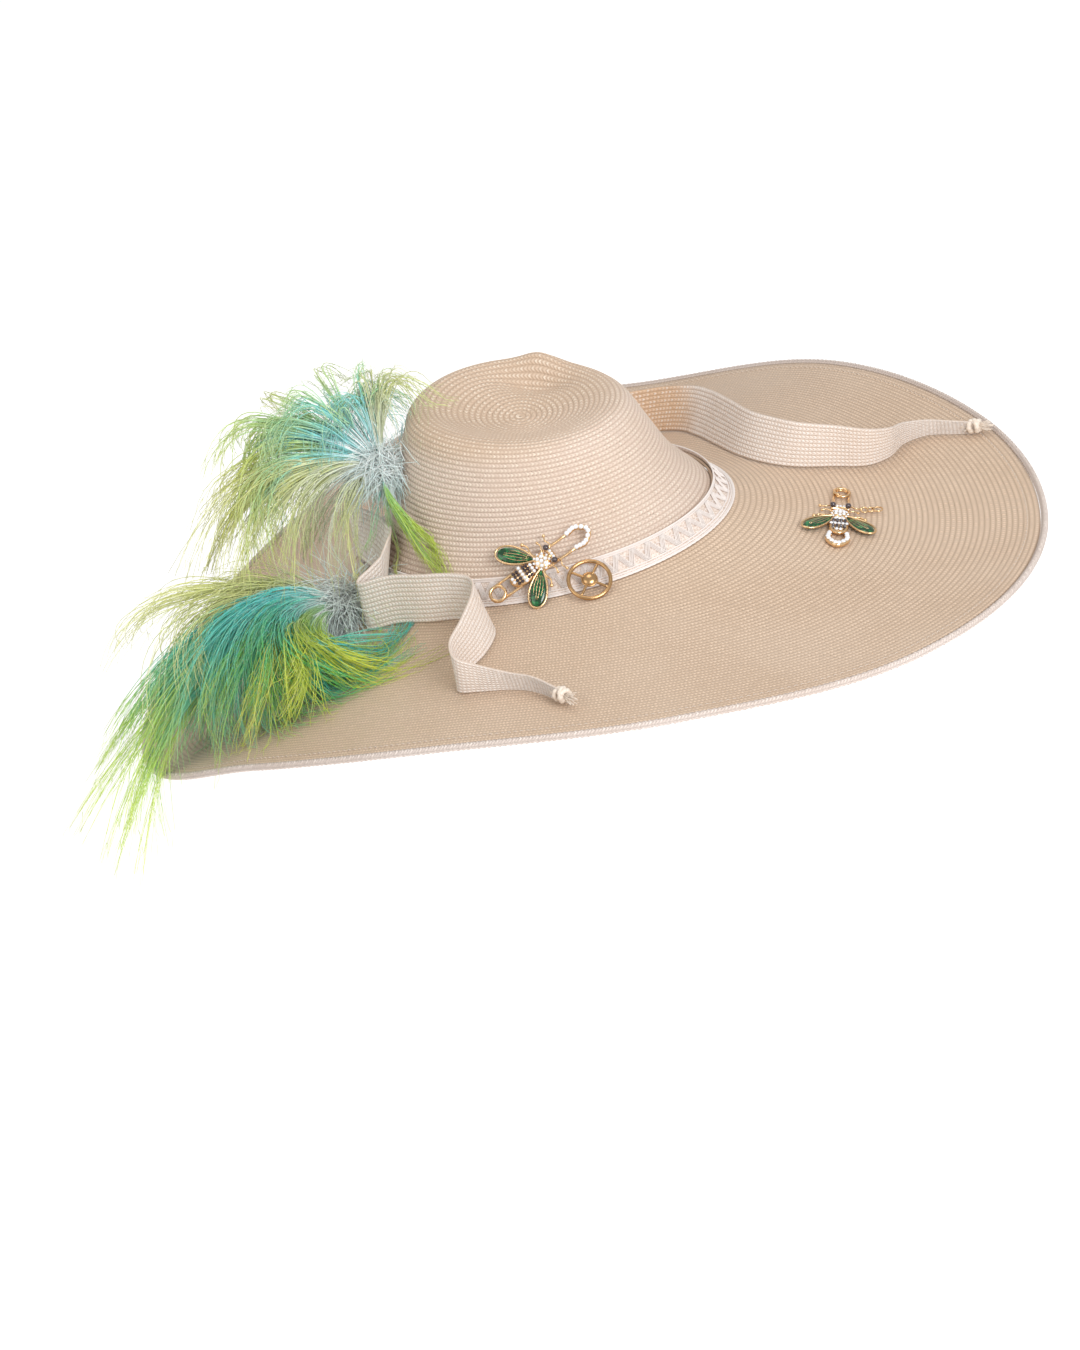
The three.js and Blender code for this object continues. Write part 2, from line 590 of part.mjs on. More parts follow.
/** The gold rim of a wing. */
function wingRim(side) {
  const shape = new THREE.Shape(wingOutline(WING_LENGTH, WING_WIDTH));
  const hole = wingOutline(WING_LENGTH - 2.5 * WING_RIM, WING_WIDTH - 2 * WING_RIM);
  shape.holes.push(new THREE.Path(hole.map((p) => new THREE.Vector2(p.x + 1.6 * WING_RIM, p.y)).reverse()));
  return turnWing(new THREE.ExtrudeGeometry(shape, { depth: 1.2, bevelEnabled: false }), side, 0.9);
}

/** The enamel inside a wing's rim. */
function wingEnamel(side) {
  const inset = 2 * CLEARANCE;
  const outline = wingOutline(WING_LENGTH - 2.5 * WING_RIM - 2 * inset, WING_WIDTH - 2 * WING_RIM - inset);
  const shape = new THREE.Shape(outline.map((p) => new THREE.Vector2(p.x + 1.6 * WING_RIM + inset, p.y)));
  return turnWing(new THREE.ExtrudeGeometry(shape, { depth: 0.9, bevelEnabled: false }), side, 1.1);
}

/** A cut stone: eight sides rising to a flat table. */
function stone(x, y, height, radius) {
  const cut = new THREE.CylinderGeometry(radius * 0.6, radius, radius * 0.8, 8);
  cut.rotateX(Math.PI / 2);
  cut.translate(x, y, height + radius * 0.4);
  return cut;
}

/** The wire, coil, hood, body, wing rims, legs and feelers of a bee pin, as one casting. */
function beeCasting(hood, chain) {
  const half = PIN_LENGTH / 2;
  const gap = PIN_GAP / 2;
  const wires = [-1, 1].map((side) => rod(at(-half, side * gap * 0.9, 0), at(half, side * gap, 0), WIRE_RADIUS, 5));
  const coil = new THREE.TorusGeometry(COIL_RADIUS, WIRE_RADIUS * 1.1, 5, 10);
  coil.translate(-half, 0, 0);
  const hoodBend = new THREE.CatmullRomCurve3(
    [at(half - 7, gap, 0), at(half - 1, gap, 0), at(half + 3.5, 0, 0), at(half - 1, -gap, 0), at(half - 7, -gap, 0)],
  );
  const clasp = [...wires, coil, bar(hoodBend, () => WIRE_RADIUS * 1.7, 6, 5)];
  if (hood < 0) clasp.forEach((piece) => piece.rotateZ(Math.PI));
  const thorax = new THREE.CylinderGeometry(THORAX_RADIUS, THORAX_RADIUS, BODY_BASE + WIRE_RADIUS, 10);
  thorax.rotateX(Math.PI / 2);
  thorax.translate(1, 0, (BODY_BASE - WIRE_RADIUS) / 2);
  const abdomen = new THREE.CylinderGeometry(ABDOMEN_WIDTH / 2, ABDOMEN_WIDTH / 2, BODY_BASE + WIRE_RADIUS, 10);
  abdomen.rotateX(Math.PI / 2);
  abdomen.scale(ABDOMEN_LENGTH / ABDOMEN_WIDTH, 1, 1);
  abdomen.translate(-ABDOMEN_LENGTH * 0.73, 0, (BODY_BASE - WIRE_RADIUS) / 2);
  const head = rod(at(7.5, -EYE_SPREAD / 2, 1), at(7.5, EYE_SPREAD / 2, 1), 1.6, 5);
  const neck = rod(at(2, 0, 0.6), at(7.5, 0, 0.6), 1.2, 5);
  const limbs = [-1, 1].flatMap((side) => {
    const legTip = at(-2.5, side * LEG_REACH, 1);
    const feelerTip = at(10, side * FEELER_REACH, 1);
    return [
      rod(at(0, side * 3, 1), legTip, 0.6, 5),
      rod(at(4, side * 2, 1), feelerTip, 0.6, 5),
      new THREE.OctahedronGeometry(1.2).translate(legTip.x, legTip.y, legTip.z),
      new THREE.OctahedronGeometry(1.2).translate(feelerTip.x, feelerTip.y, feelerTip.z),
    ];
  });
  const links = Array.from({ length: 3 * chain }, (_, i) => {
    const link = new THREE.TorusGeometry(i === 2 ? 3 : 2, 0.6, 5, 8);
    return link.translate(10 + 1.2 * i, -14 - 3.8 * i, 1);
  });
  return fuse([...clasp, thorax, abdomen, head, neck, wingRim(-1), wingRim(1), ...limbs, ...links]);
}

/** The clear stones set close together on the bee's back and head. */
function beeBackStones() {
  const height = BODY_BASE + CLEARANCE;
  const base = new THREE.CylinderGeometry(THORAX_RADIUS * 0.8, THORAX_RADIUS * 0.9, 1, 12);
  base.rotateX(Math.PI / 2);
  base.translate(1, 0, height + 0.5);
  const round = Array.from({ length: 5 }, (_, i) => {
    const turn = (2 * Math.PI * i) / 5;
    return stone(1 + 3.1 * Math.cos(turn), 3.1 * Math.sin(turn), height + 0.7, STONE_RADIUS);
  });
  return fuse([base, stone(1, 0, height + 1, STONE_RADIUS), ...round]);
}

/** The clear stones set along the hood of the clasp. */
function hoodStones(hood) {
  const height = WIRE_RADIUS * 1.7 + CLEARANCE;
  const half = PIN_LENGTH / 2;
  const places = Array.from({ length: 5 }, (_, i) => {
    const turn = (Math.PI * (i - 2)) / 3.6;
    return at(hood * (half - 1.5 + 4.2 * Math.cos(turn)), (PIN_GAP / 2) * Math.sin(turn), height + 0.6);
  });
  const bed = bar(new THREE.CatmullRomCurve3(places), () => 0.6, 4, 4);
  return fuse([bed, ...places.map((place) => stone(place.x, place.y, place.z, STONE_RADIUS))]);
}

/** The dark stones across the bee's tail, on their bed. */
function tailStones() {
  const height = BODY_BASE + CLEARANCE;
  const bed = new THREE.CylinderGeometry(ABDOMEN_WIDTH * 0.42, ABDOMEN_WIDTH * 0.46, 1.2, 12);
  bed.rotateX(Math.PI / 2);
  bed.scale(ABDOMEN_LENGTH / ABDOMEN_WIDTH, 1, 1);
  bed.translate(-ABDOMEN_LENGTH * 0.73, 0, height + 0.6);
  const rows = [
    { along: -0.47, count: 3 },
    { along: -0.73, count: 3 },
    { along: -0.98, count: 2 },
  ];
  const stones = rows.flatMap((row) =>
    Array.from({ length: row.count }, (_, i) => {
      const y = (i - (row.count - 1) / 2) * STONE_RADIUS * 1.7;
      return stone(row.along * ABDOMEN_LENGTH, y, height + 0.9, STONE_RADIUS);
    }),
  );
  return fuse([bed, ...stones]);
}

/** A round eye of the bee, on its side of the head. */
function beeEye(side) {
  const eye = new THREE.SphereGeometry(EYE_RADIUS, 8, 4);
  eye.translate(7.5, (side * EYE_SPREAD) / 2, 2.6 + CLEARANCE + EYE_RADIUS);
  return fuse([eye]);
}

/** A plain gold ring pin: a ring, four spokes and a smooth dome. */
function ringPin() {
  const hoop = new THREE.TorusGeometry(RING_PIN_RADIUS, 1.1, 5, 18);
  const spokes = [0, 1].map((i) => {
    const turn = Math.PI * (0.25 + i / 2);
    const end = at(RING_PIN_RADIUS * Math.cos(turn), RING_PIN_RADIUS * Math.sin(turn), 0);
    return rod(end.clone().negate(), end, 0.8, 5);
  });
  const dome = new THREE.SphereGeometry(RING_PIN_RADIUS * 0.36, 8, 6);
  dome.scale(1, 1, 0.5);
  return fuse([hoop, ...spokes, dome]);
}

const STRAW_FINISH = { color: 0xe9d2b8, roughness: 0.55, metalness: 0 };
const GOLD_FINISH = { color: 0xd9a441, roughness: 0.25, metalness: 1 };
const ENAMEL_FINISH = { color: 0x0f5a2c, roughness: 0.2, metalness: 0 };
const CLEAR_FINISH = { color: 0xeef2f5, roughness: 0.05, metalness: 0 };
const DARK_FINISH = { color: 0x1b1417, roughness: 0.1, metalness: 0 };
addPiece('crown', strawWall(crownRings), STRAW_FINISH);
addPiece('brim', strawWall([...flareRings, ...brimRings]), STRAW_FINISH);

const topRings = offsetRings([...flareRings, ...brimRings], CLEARANCE).slice(0, FLARE_ROWS.length);
const laceOuter = offsetRings([...flareRings, ...brimRings], CLEARANCE + LACE_THICKNESS).slice(0, FLARE_ROWS.length);
[topRings, laceOuter].forEach((rings) => rings[0].forEach((point) => { point.z += LACE_OVERLAP; }));
addPiece('lace_band', wallBetween(laceOuter, topRings), { color: 0xf3e3dc, roughness: 0.7, metalness: 0 });

const hemCentres = brimRings.at(-1).map((point, j) => {
  const edge = point.clone().add(offsetRings([...flareRings, ...brimRings], -STRAW).at(-1)[j]).multiplyScalar(0.5);
  const outward = point.clone().sub(brimRings.at(-2)[j]).normalize();
  return edge.addScaledVector(outward, HEM_RADIUS + CLEARANCE);
});
addPiece('hem', hemTube(hemCentres), STRAW_FINISH);

addPiece('side_ribbon', ribbon(SIDE_RIBBON), STRAW_FINISH);
addPiece('front_ribbon', ribbon(FRONT_RIBBON), STRAW_FINISH);

addPiece('low_plume', lowPlume(), { color: 0x6fb35a, roughness: 0.9, metalness: 0 });
addPiece('high_plume', highPlume(), { color: 0x9cbf6a, roughness: 0.9, metalness: 0 });

/** Adds the pieces of one bee pin at its place on the hat. */
function addBee(name, place, hood, chain) {
  const onHat = (part, geometry, finish) => addPiece(`${name}_${part}`, geometry.applyMatrix4(place), finish);
  onHat('casting', beeCasting(hood, chain), GOLD_FINISH);
  onHat('left_wing', fuse([wingEnamel(1)]), ENAMEL_FINISH);
  onHat('right_wing', fuse([wingEnamel(-1)]), ENAMEL_FINISH);
  onHat('back_stones', beeBackStones(), CLEAR_FINISH);
  onHat('hood_stones', hoodStones(hood), CLEAR_FINISH);
  onHat('tail_stones', tailStones(), DARK_FINISH);
  onHat('left_eye', beeEye(1), DARK_FINISH);
  onHat('right_eye', beeEye(-1), DARK_FINISH);
}

addBee('bee_side', leaningPlace(SIDE_BEE), 1, 0);
addBee('bee_front', lyingPlace(FRONT_BEE), -1, 1);
addPiece('ring_pin', ringPin().applyMatrix4(leaningPlace(RING_PIN)), GOLD_FINISH);

export default hat;
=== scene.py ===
# %% [markdown]
# # A wide straw hat with plumes and bee pins
# The hat is blocked straw: a dished crown and a wide waved brim, sewn from rows of braid. A lace band
# covers the join, two straw ribbons stand on the brim, two dyed plumes spring from the back, and
# three gold pins finish it. Each piece here is a surface worked out with numpy from a formula.

import bpy
import numpy as np
from mathutils import Matrix, Vector


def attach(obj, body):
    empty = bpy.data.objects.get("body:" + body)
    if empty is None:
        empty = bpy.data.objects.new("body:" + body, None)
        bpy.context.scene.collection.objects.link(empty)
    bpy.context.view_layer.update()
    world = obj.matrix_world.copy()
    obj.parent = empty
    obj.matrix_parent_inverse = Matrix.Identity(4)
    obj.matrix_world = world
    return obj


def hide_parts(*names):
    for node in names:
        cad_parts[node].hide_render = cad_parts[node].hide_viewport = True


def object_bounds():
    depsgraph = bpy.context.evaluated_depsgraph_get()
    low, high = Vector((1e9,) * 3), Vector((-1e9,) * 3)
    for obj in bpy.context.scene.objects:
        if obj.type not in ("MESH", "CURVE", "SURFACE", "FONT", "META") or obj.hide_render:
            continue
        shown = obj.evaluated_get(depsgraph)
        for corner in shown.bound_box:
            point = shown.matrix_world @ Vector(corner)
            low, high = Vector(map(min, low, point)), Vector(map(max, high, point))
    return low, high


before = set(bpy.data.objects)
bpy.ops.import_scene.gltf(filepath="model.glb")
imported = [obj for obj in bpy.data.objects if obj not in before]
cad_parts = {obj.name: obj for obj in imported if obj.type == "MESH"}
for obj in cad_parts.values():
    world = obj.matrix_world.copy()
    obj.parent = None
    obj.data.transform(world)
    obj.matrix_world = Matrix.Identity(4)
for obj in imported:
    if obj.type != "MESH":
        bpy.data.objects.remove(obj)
cad_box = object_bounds()

# %% [markdown]
# ## Camera
# A camera is a place, a turn and a lens. The hat leans 15 degrees in the picture, so the camera is
# rolled by that much while it looks a little down on the hat's right side. The lens shift frames the
# hat in the upper half of the picture, which is cheaper than aiming off it and keeps lines straight.

# %% The camera
CAMERA_DISTANCE = 2.2
CAMERA_ROUND = -70
CAMERA_ABOVE = 23.8
CAMERA_ROLL = 15.2
LENS_MM = 98.56


def camera_axes():
    """The camera's right, up and backward directions: back is the unit vector of a place on a globe,
    right is level, up crosses the two, and right and up are then turned together by the roll."""
    a, e, r = np.radians([CAMERA_ROUND, CAMERA_ABOVE, CAMERA_ROLL])
    back = np.array([np.sin(a) * np.cos(e), -np.cos(a) * np.cos(e), np.sin(e)])
    right = np.array([np.cos(a), np.sin(a), 0])
    up = np.cross(back, right)
    return right * np.cos(r) - up * np.sin(r), right * np.sin(r) + up * np.cos(r), back


RIGHT, UPWARD, BACKWARD = camera_axes()
camera = bpy.data.objects.new("photo_camera", bpy.data.cameras.new("photo_camera"))
bpy.context.collection.objects.link(camera)
camera.matrix_world = Matrix.Translation(Vector(BACKWARD * CAMERA_DISTANCE)) @ Matrix(
    np.stack([RIGHT, UPWARD, BACKWARD], axis=1).tolist()
).to_4x4()
camera.data.lens = LENS_MM
camera.data.sensor_width = 36
camera.data.shift_x = -0.0041
camera.data.shift_y = -0.1091
bpy.context.scene.camera = camera
print("camera at", [round(v, 3) for v in camera.location])

# %% [markdown]
# ## Mesh helpers
# Every piece is a grid of points and the quads between them. A grid can close round the hat, be a
# tube along a path, or be many copies of one small shape. Writing them once, for whole arrays, keeps
# each later cell down to its own formula.

# %% Grids, tubes and copies
MM = 0.001
UP = np.array([0.0, 0.0, 1.0])


def ring(count):
    """Even angles once round, in radians."""
    return np.linspace(0, 2 * np.pi, count, endpoint=False)


def fan(count):
    """Triangles from the first point of a ring to the rest, which fill it."""
    return np.array([[0, a, a + 1] for a in range(1, count - 1)]).reshape(-1, 3)


def piece(name, points, faces, material, slot, stands_for=(), uv=None, dye=None, flat=False):
    """A mesh object from points in millimetres and arrays of triangles or quads. uv has one pair for
    each corner of each face in turn, and dye one colour for each point."""
    mesh = bpy.data.meshes.new(name)
    points = np.asarray(points, dtype=float).reshape(-1, 3)
    sizes = np.concatenate([np.full(len(f), f.shape[1]) for f in faces])
    corners = np.concatenate([f.ravel() for f in faces])
    mesh.vertices.add(len(points))
    mesh.vertices.foreach_set("co", (points * MM).ravel())
    mesh.loops.add(len(corners))
    mesh.loops.foreach_set("vertex_index", corners.astype(np.int32))
    mesh.polygons.add(len(sizes))
    mesh.polygons.foreach_set("loop_start", (np.cumsum(sizes) - sizes).astype(np.int32))
    mesh.polygons.foreach_set("use_smooth", np.full(len(sizes), not flat))
    if uv is not None:
        mesh.uv_layers.new(name="thread").data.foreach_set("uv", np.asarray(uv, dtype=float).ravel())
    if dye is not None:
        layer = mesh.color_attributes.new("dye", "FLOAT_COLOR", "POINT")
        layer.data.foreach_set("color", np.column_stack([dye, np.ones(len(dye))]).ravel())
    mesh.update(calc_edges=True)
    mesh.validate()
    mesh.materials.append(material)
    made = bpy.data.objects.new(name, mesh)
    bpy.context.collection.objects.link(made)
    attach(made, "root")
    if stands_for:
        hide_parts(*stands_for)
    print(name, len(points), "points,", int((sizes - 2).sum()), "triangles")
    return made


def grid_quads(rows, columns, closed, start=0):
    """Quads of a grid whose point (row, column) is number start + row * columns + column."""
    i, j = np.meshgrid(np.arange(rows - 1), np.arange(columns if closed else columns - 1), indexing="ij")
    k = (j + 1) % columns
    low, high = i * columns, (i + 1) * columns
    return np.stack([low + j, high + j, high + k, low + k], -1).reshape(-1, 4) + start


def path_frames(paths):
    """For each path of points, the unit way ahead and two unit sides at every station. The first side is
    carried along the path and made square to it again at each station, so the tube never twists."""
    ahead = np.gradient(paths, axis=1)
    ahead /= np.linalg.norm(ahead, axis=-1, keepdims=True) + 1e-12
    first = np.cross(ahead[:, 0], UP)
    flat_ones = np.linalg.norm(first, axis=-1) < 0.05
    first[flat_ones] = np.cross(ahead[flat_ones, 0], [1.0, 0, 0])
    sides = np.empty_like(paths)
    for station in range(paths.shape[1]):
        first = first - ahead[:, station] * (first * ahead[:, station]).sum(-1, keepdims=True)
        first = first / (np.linalg.norm(first, axis=-1, keepdims=True) + 1e-12)
        sides[:, station] = first
    return ahead, sides, np.cross(ahead, sides)


def tubes(paths, radii, sides=8, closed=False):
    """Round tubes along several paths: centre + radius * (cos * side + sin * other side). Returns the
    points and faces; the ends are closed by a fan."""
    paths = np.asarray(paths, dtype=float)
    count, stations = paths.shape[:2]
    _, side, other = path_frames(paths)
    turn = ring(sides)
    radii = np.broadcast_to(np.asarray(radii, dtype=float), (count, stations))[..., None, None]
    ringed = np.cos(turn)[:, None] * side[:, :, None] + np.sin(turn)[:, None] * other[:, :, None]
    points = paths[:, :, None] + radii * ringed
    quads = grid_quads(stations, sides, True)[:, [0, 3, 2, 1]]
    if closed:
        last = (stations - 1) * sides + np.arange(sides)
        back = np.stack([last, (last - last[0] + 1) % sides + last[0], (np.arange(sides) + 1) % sides,
                         np.arange(sides)], -1)
        quads = np.concatenate([quads, back])
    first_cap = fan(sides)[:, [0, 2, 1]]
    last_cap = first_cap[:, ::-1] + (stations - 1) * sides
    caps = np.zeros((0, 3), int) if closed else np.concatenate([first_cap, last_cap])
    starts = (np.arange(count) * stations * sides)[:, None, None]
    return points.reshape(-1, 3), [(quads + starts).reshape(-1, 4), (caps + starts).reshape(-1, 3)]


def gather(parts):
    """One set of points and faces from several, with the numbers of each moved past those before."""
    points, faces, start = [], [], 0
    for more, sets in parts:
        more = np.asarray(more).reshape(-1, 3)
        points.append(more)
        faces += [f + start for f in sets if len(f)]
        start += len(more)
    return np.concatenate(points), faces


def copies(points, faces, turns, places):
    """Copies of one small shape: each is the shape turned by its own matrix and moved to its place."""
    all_points = np.einsum("nij,pj->npi", turns, points) + places[:, None]
    starts = (np.arange(len(places)) * len(points))[:, None, None]
    return all_points.reshape(-1, 3), [(f + starts).reshape(-1, f.shape[1]) for f in faces]


def smooth_read(values, share):
    """Values read smoothly at shares 0 to 1 of their list, by the cubic that passes through each and
    whose slope there is half the step between its neighbours."""
    values = np.asarray(values, dtype=float)
    padded = np.concatenate([2 * values[:1] - values[1:2], values, 2 * values[-1:] - values[-2:-1]])
    place = np.clip(share, 0, 1) * (len(values) - 1)
    row = np.minimum(place.astype(int), len(values) - 2)
    t = (place - row).reshape(place.shape + (1,) * (values.ndim - 1))
    a, b, c, d = (padded[row + step] for step in range(4))
    return b + 0.5 * t * (c - a + t * (2 * a - 5 * b + 4 * c - d + t * (3 * (b - c) + d - a)))


# %% [markdown]
# ## Material helpers
# A finish is a Principled shader. Its even values sit on the shader's own sockets, and only what changes
# over the surface comes from nodes. The small calc function lets a pattern be written as sums, one line
# for each step, instead of by placing Math nodes by hand.

# %% Node helpers
def finish(name, colour=(0.8, 0.8, 0.8), roughness=0.5, metallic=0.0, **sockets):
    """A new material and its Principled shader. Extra values go to sockets named like Coat_Weight."""
    material = bpy.data.materials.new(name)
    material.use_nodes = True
    shader = material.node_tree.nodes["Principled BSDF"]
    shader.inputs["Base Color"].default_value = (*colour, 1)
    shader.inputs["Roughness"].default_value = roughness
    shader.inputs["Metallic"].default_value = metallic
    for socket, value in sockets.items():
        shader.inputs[socket.replace("_", " ")].default_value = value
    return material, material.node_tree, shader


def calc(tree, operation, *values):
    """A Math node on sockets or numbers; returns its output."""
    node = tree.nodes.new("ShaderNodeMath")
    node.operation = operation
    for socket, value in zip(node.inputs, values):
        if isinstance(value, (int, float)):
            socket.default_value = value
        else:
            tree.links.new(value, socket)
    return node.outputs[0]


def blend_colour(tree, share, first, second):
    """A mix of two colours or colour sockets, by a share from 0 to 1."""
    node = tree.nodes.new("ShaderNodeMix")
    node.data_type = "RGBA"
    for index, value in ((0, share), (6, first), (7, second)):
        if isinstance(value, bpy.types.NodeSocket):
            tree.links.new(value, node.inputs[index])
        else:
            node.inputs[index].default_value = value if index == 0 else (*value, 1)
    return node.outputs[2]


def noise(tree, vector, scale, detail=2.0):
    """Soft random light and dark at a scale, from 0 to 1."""
    node = tree.nodes.new("ShaderNodeTexNoise")
    node.inputs["Scale"].default_value = scale
    node.inputs["Detail"].default_value = detail
    tree.links.new(vector, node.inputs["Vector"])
    return node.outputs["Fac"]


def ramp(tree, value, low, high):
    """A value stretched so that low becomes 0 and high becomes 1, smoothly and clamped."""
    node = tree.nodes.new("ShaderNodeMapRange")
    node.interpolation_type = "SMOOTHSTEP"
    tree.links.new(value, node.inputs["Value"])
    node.inputs["From Min"].default_value = low
    node.inputs["From Max"].default_value = high
    return node.outputs["Result"]


def raised(tree, shader, height, depth_mm, strength=1.0):
    """Raises the surface by a height pattern, depth in millimetres, without moving its points."""
    node = tree.nodes.new("ShaderNodeBump")
    node.inputs["Strength"].default_value = strength
    node.inputs["Distance"].default_value = depth_mm * MM
    tree.links.new(height, node.inputs["Height"])
    tree.links.new(node.outputs["Normal"], shader.inputs["Normal"])


def object_place(tree):
    """The place on the object, in metres from the hat's origin."""
    return tree.nodes.new("ShaderNodeTexCoord").outputs["Object"]


def mottled(name, first, second, scale, roughness, metallic=0.0, edges=None, detail=2.0, grain=None, **sockets):
    """A finish whose colour drifts between two by noise of a scale. edges are the noise's values that
    count as 0 and 1, and grain = (scale, depth in millimetres, strength) makes it uneven to the light."""
    material, tree, shader = finish(name, first, roughness, metallic, **sockets)
    place = object_place(tree)
    share = noise(tree, place, scale, detail)
    share = ramp(tree, share, *edges) if edges else share
    tree.links.new(blend_colour(tree, share, first, second), shader.inputs["Base Color"])
    if grain:
        raised(tree, shader, noise(tree, place, grain[0]), *grain[1:])
    return material


print("helpers ready")

# %% [markdown]
# ## Straw finish
# Braided straw is a plait: each row is about three millimetres wide, and its straws slant from both
# sides to a V in the middle. Its map holds millimetres along the row and the number of the row, so the
# plait can be worked out from those two numbers. The straws are bleached and glossy, with a painted
# highlight on the crests of the straws; the creases between rows and the dips between straws carry
# painted shade, and pin holes show where two straws part. A picture could do this, but a formula
# stays sharp at any distance.

# %% The plait
def straw_finish(name, light, warm, gap, stitch, slant, depth, hole, gloss=0.42, near=None):
    """Plaited straw. Along the row u and with row number v: a straw's number is u / stitch + 2 * slant *
    distance from the row's middle, its height the round of the straw times the round of the row. Its colour
    carries painted shade in the creases and a painted highlight on the crests. The colour may also turn to
    a painted warm shade near a place: near = (centre, whole within, none past, colour)."""
    material, tree, shader = finish(name, roughness=gloss, Sheen_Weight=0.1, Specular_IOR_Level=0.5)

    def work(operation, *values):
        """One step of the pattern's arithmetic."""
        return calc(tree, operation, *values)

    uv = tree.nodes.new("ShaderNodeUVMap")
    uv.uv_map = "thread"
    parts = tree.nodes.new("ShaderNodeSeparateXYZ")
    tree.links.new(uv.outputs[0], parts.inputs[0])
    along, rows = parts.outputs[0], parts.outputs[1]
    from_middle = work("ABSOLUTE", work("SUBTRACT", work("FRACT", rows), 0.5))
    straw = work("ADD", work("DIVIDE", along, stitch), work("MULTIPLY", from_middle, 2 * slant))
    straw_round = work("SINE", work("MULTIPLY", work("FRACT", straw), float(np.pi)))
    row_round = work("COSINE", work("MULTIPLY", from_middle, float(np.pi)))
    row_full = work("POWER", work("MAXIMUM", row_round, 0.0), 0.5)
    height = work("MULTIPLY", work("ADD", work("MULTIPLY", straw_round, 0.6), 0.4), row_full)
    raised(tree, shader, height, depth)
    number = tree.nodes.new("ShaderNodeCombineXYZ")
    tree.links.new(work("FLOOR", straw), number.inputs[0])
    tree.links.new(work("FLOOR", rows), number.inputs[1])
    chance = tree.nodes.new("ShaderNodeTexWhiteNoise")
    chance.noise_dimensions = "2D"
    tree.links.new(number.outputs[0], chance.inputs["Vector"])
    each = chance.outputs["Value"]
    place = object_place(tree)
    tone = blend_colour(tree, ramp(tree, noise(tree, place, 14.0), 0.3, 0.75), light, warm)
    # Painted warm shade: near the centre the colour turns to the given one, fading out further off.
    if near:
        centre, whole, none, colour = near
        away = tree.nodes.new("ShaderNodeVectorMath")
        away.operation = "DISTANCE"
        tree.links.new(place, away.inputs[0])
        away.inputs[1].default_value = centre
        share = work("SUBTRACT", 1.0, ramp(tree, away.outputs["Value"], whole, none))
        tone = blend_colour(tree, share, tone, colour)
    # Painted shade: the creases between rows and the dips between straws are darkened towards the gap colour.
    shade = work("MULTIPLY", work("SUBTRACT", 1.0, ramp(tree, height, 0.1, 0.75)), 0.42)
    shaded = blend_colour(tree, shade, tone, gap)
    # Painted highlight: the crests of the straws are lightened towards a paler straw, more on some straws than on
    # others.
    crest_highlight = work("MULTIPLY", ramp(tree, height, 0.66, 0.98), work("ADD", work("MULTIPLY", each, 0.6), 0.1))
    lit = blend_colour(tree, crest_highlight, shaded, tuple(min(0.92, 1.32 * c + 0.08) for c in light))
    parted = work("SUBTRACT", 1.0, ramp(tree, straw_round, 0.25, 0.6))
    opened = work("MULTIPLY", ramp(tree, from_middle, 0.36, 0.46), parted)
    opened = work("MULTIPLY", opened, ramp(tree, each, 1.0 - hole, 1.0 - 0.7 * hole))
    tree.links.new(blend_colour(tree, opened, lit, tuple(0.5 * c for c in gap)), shader.inputs["Base Color"])
    tree.links.new(work("ADD", gloss - 0.08, work("MULTIPLY", each, 0.2)), shader.inputs["Roughness"])
    return material


# light straw, warm straw, gap (the colour of the painted crease shade), stitch in millimetres, slant,
# depth, share of holes, gloss, near (a painted warm shade round a place)
# The crown's top turns darker and warmer towards its tip: painted shade, warm in tone, on the top, which gets less of
# the front light than the walls.
CROWN_STRAW = straw_finish("crown_straw", (0.71, 0.57, 0.48), (0.68, 0.53, 0.425), (0.50, 0.36, 0.26),
                           2.5, 0.6, 0.6, 0.14, near=((0, 0, 0.3), 0.224, 0.242, (0.62, 0.46, 0.335)))
BRIM_STRAW = straw_finish("brim_straw", (0.63, 0.48, 0.355), (0.59, 0.435, 0.31), (0.30, 0.19, 0.11),
                          2.2, 0.5, 0.4, 0.05)
# Where the front ribbon starts, the straw turns peach: painted warm shade inside its first fold.
RIBBON_STRAW = straw_finish("ribbon_straw", (0.88, 0.79, 0.72), (0.85, 0.73, 0.64), (0.56, 0.41, 0.30),
                            2.4, 0.6, 0.5, 0.0, 0.3,
                            near=((0.135, -0.036, 0.01), 0.018, 0.042, (0.74, 0.50, 0.32)))
HEM_STRAW = straw_finish("hem_straw", (0.66, 0.57, 0.52), (0.60, 0.50, 0.44), (0.40, 0.33, 0.29),
                         2.0, 0.9, 0.5, 0.0)
print("straw finishes", [m.name for m in (CROWN_STRAW, BRIM_STRAW, RIBBON_STRAW, HEM_STRAW)])

# %% [markdown]
# ## Crown
# The crown is straw cloth blocked over a wood form: upright walls that lean in, a soft brow, and a dish
# in the tip with a pinch on the far side. A turned profile gives the walls, an ellipse the plan, and
# round bumps added to the height make the folds. The rows of braid are real low ridges here, because
# they catch the light along the walls, and the plait on them is in the finish.

# %% Shape of the crown
HEAD_LENGTH, HEAD_WIDTH, CROWN_HEIGHT, CROWN_LEAN = 206.0, 170.0, 86.0, 3.0
TIP_TILT, TIP_HIGH_SIDE, BROW_SPREAD, STRAW = 10.0, 65.0, 0.53, 1.8
# rise over the band, spread as a share of the band's ellipse, share of the folds
CROWN_ROWS = np.array([
    [0.02, 1.03, 0], [0.127, 1.0, 0], [0.28, 0.9, 0], [0.42, 0.82, 0], [0.7, 0.72, 0], [0.82, 0.68, 0],
    [0.91, 0.645, 0.2], [0.97, 0.6, 0.6], [1.0, 0.53, 1], [0.99, 0.45, 1], [0.97, 0.36, 1],
    [0.955, 0.25, 1], [0.95, 0.12, 1], [0.95, 0.0, 1],
])
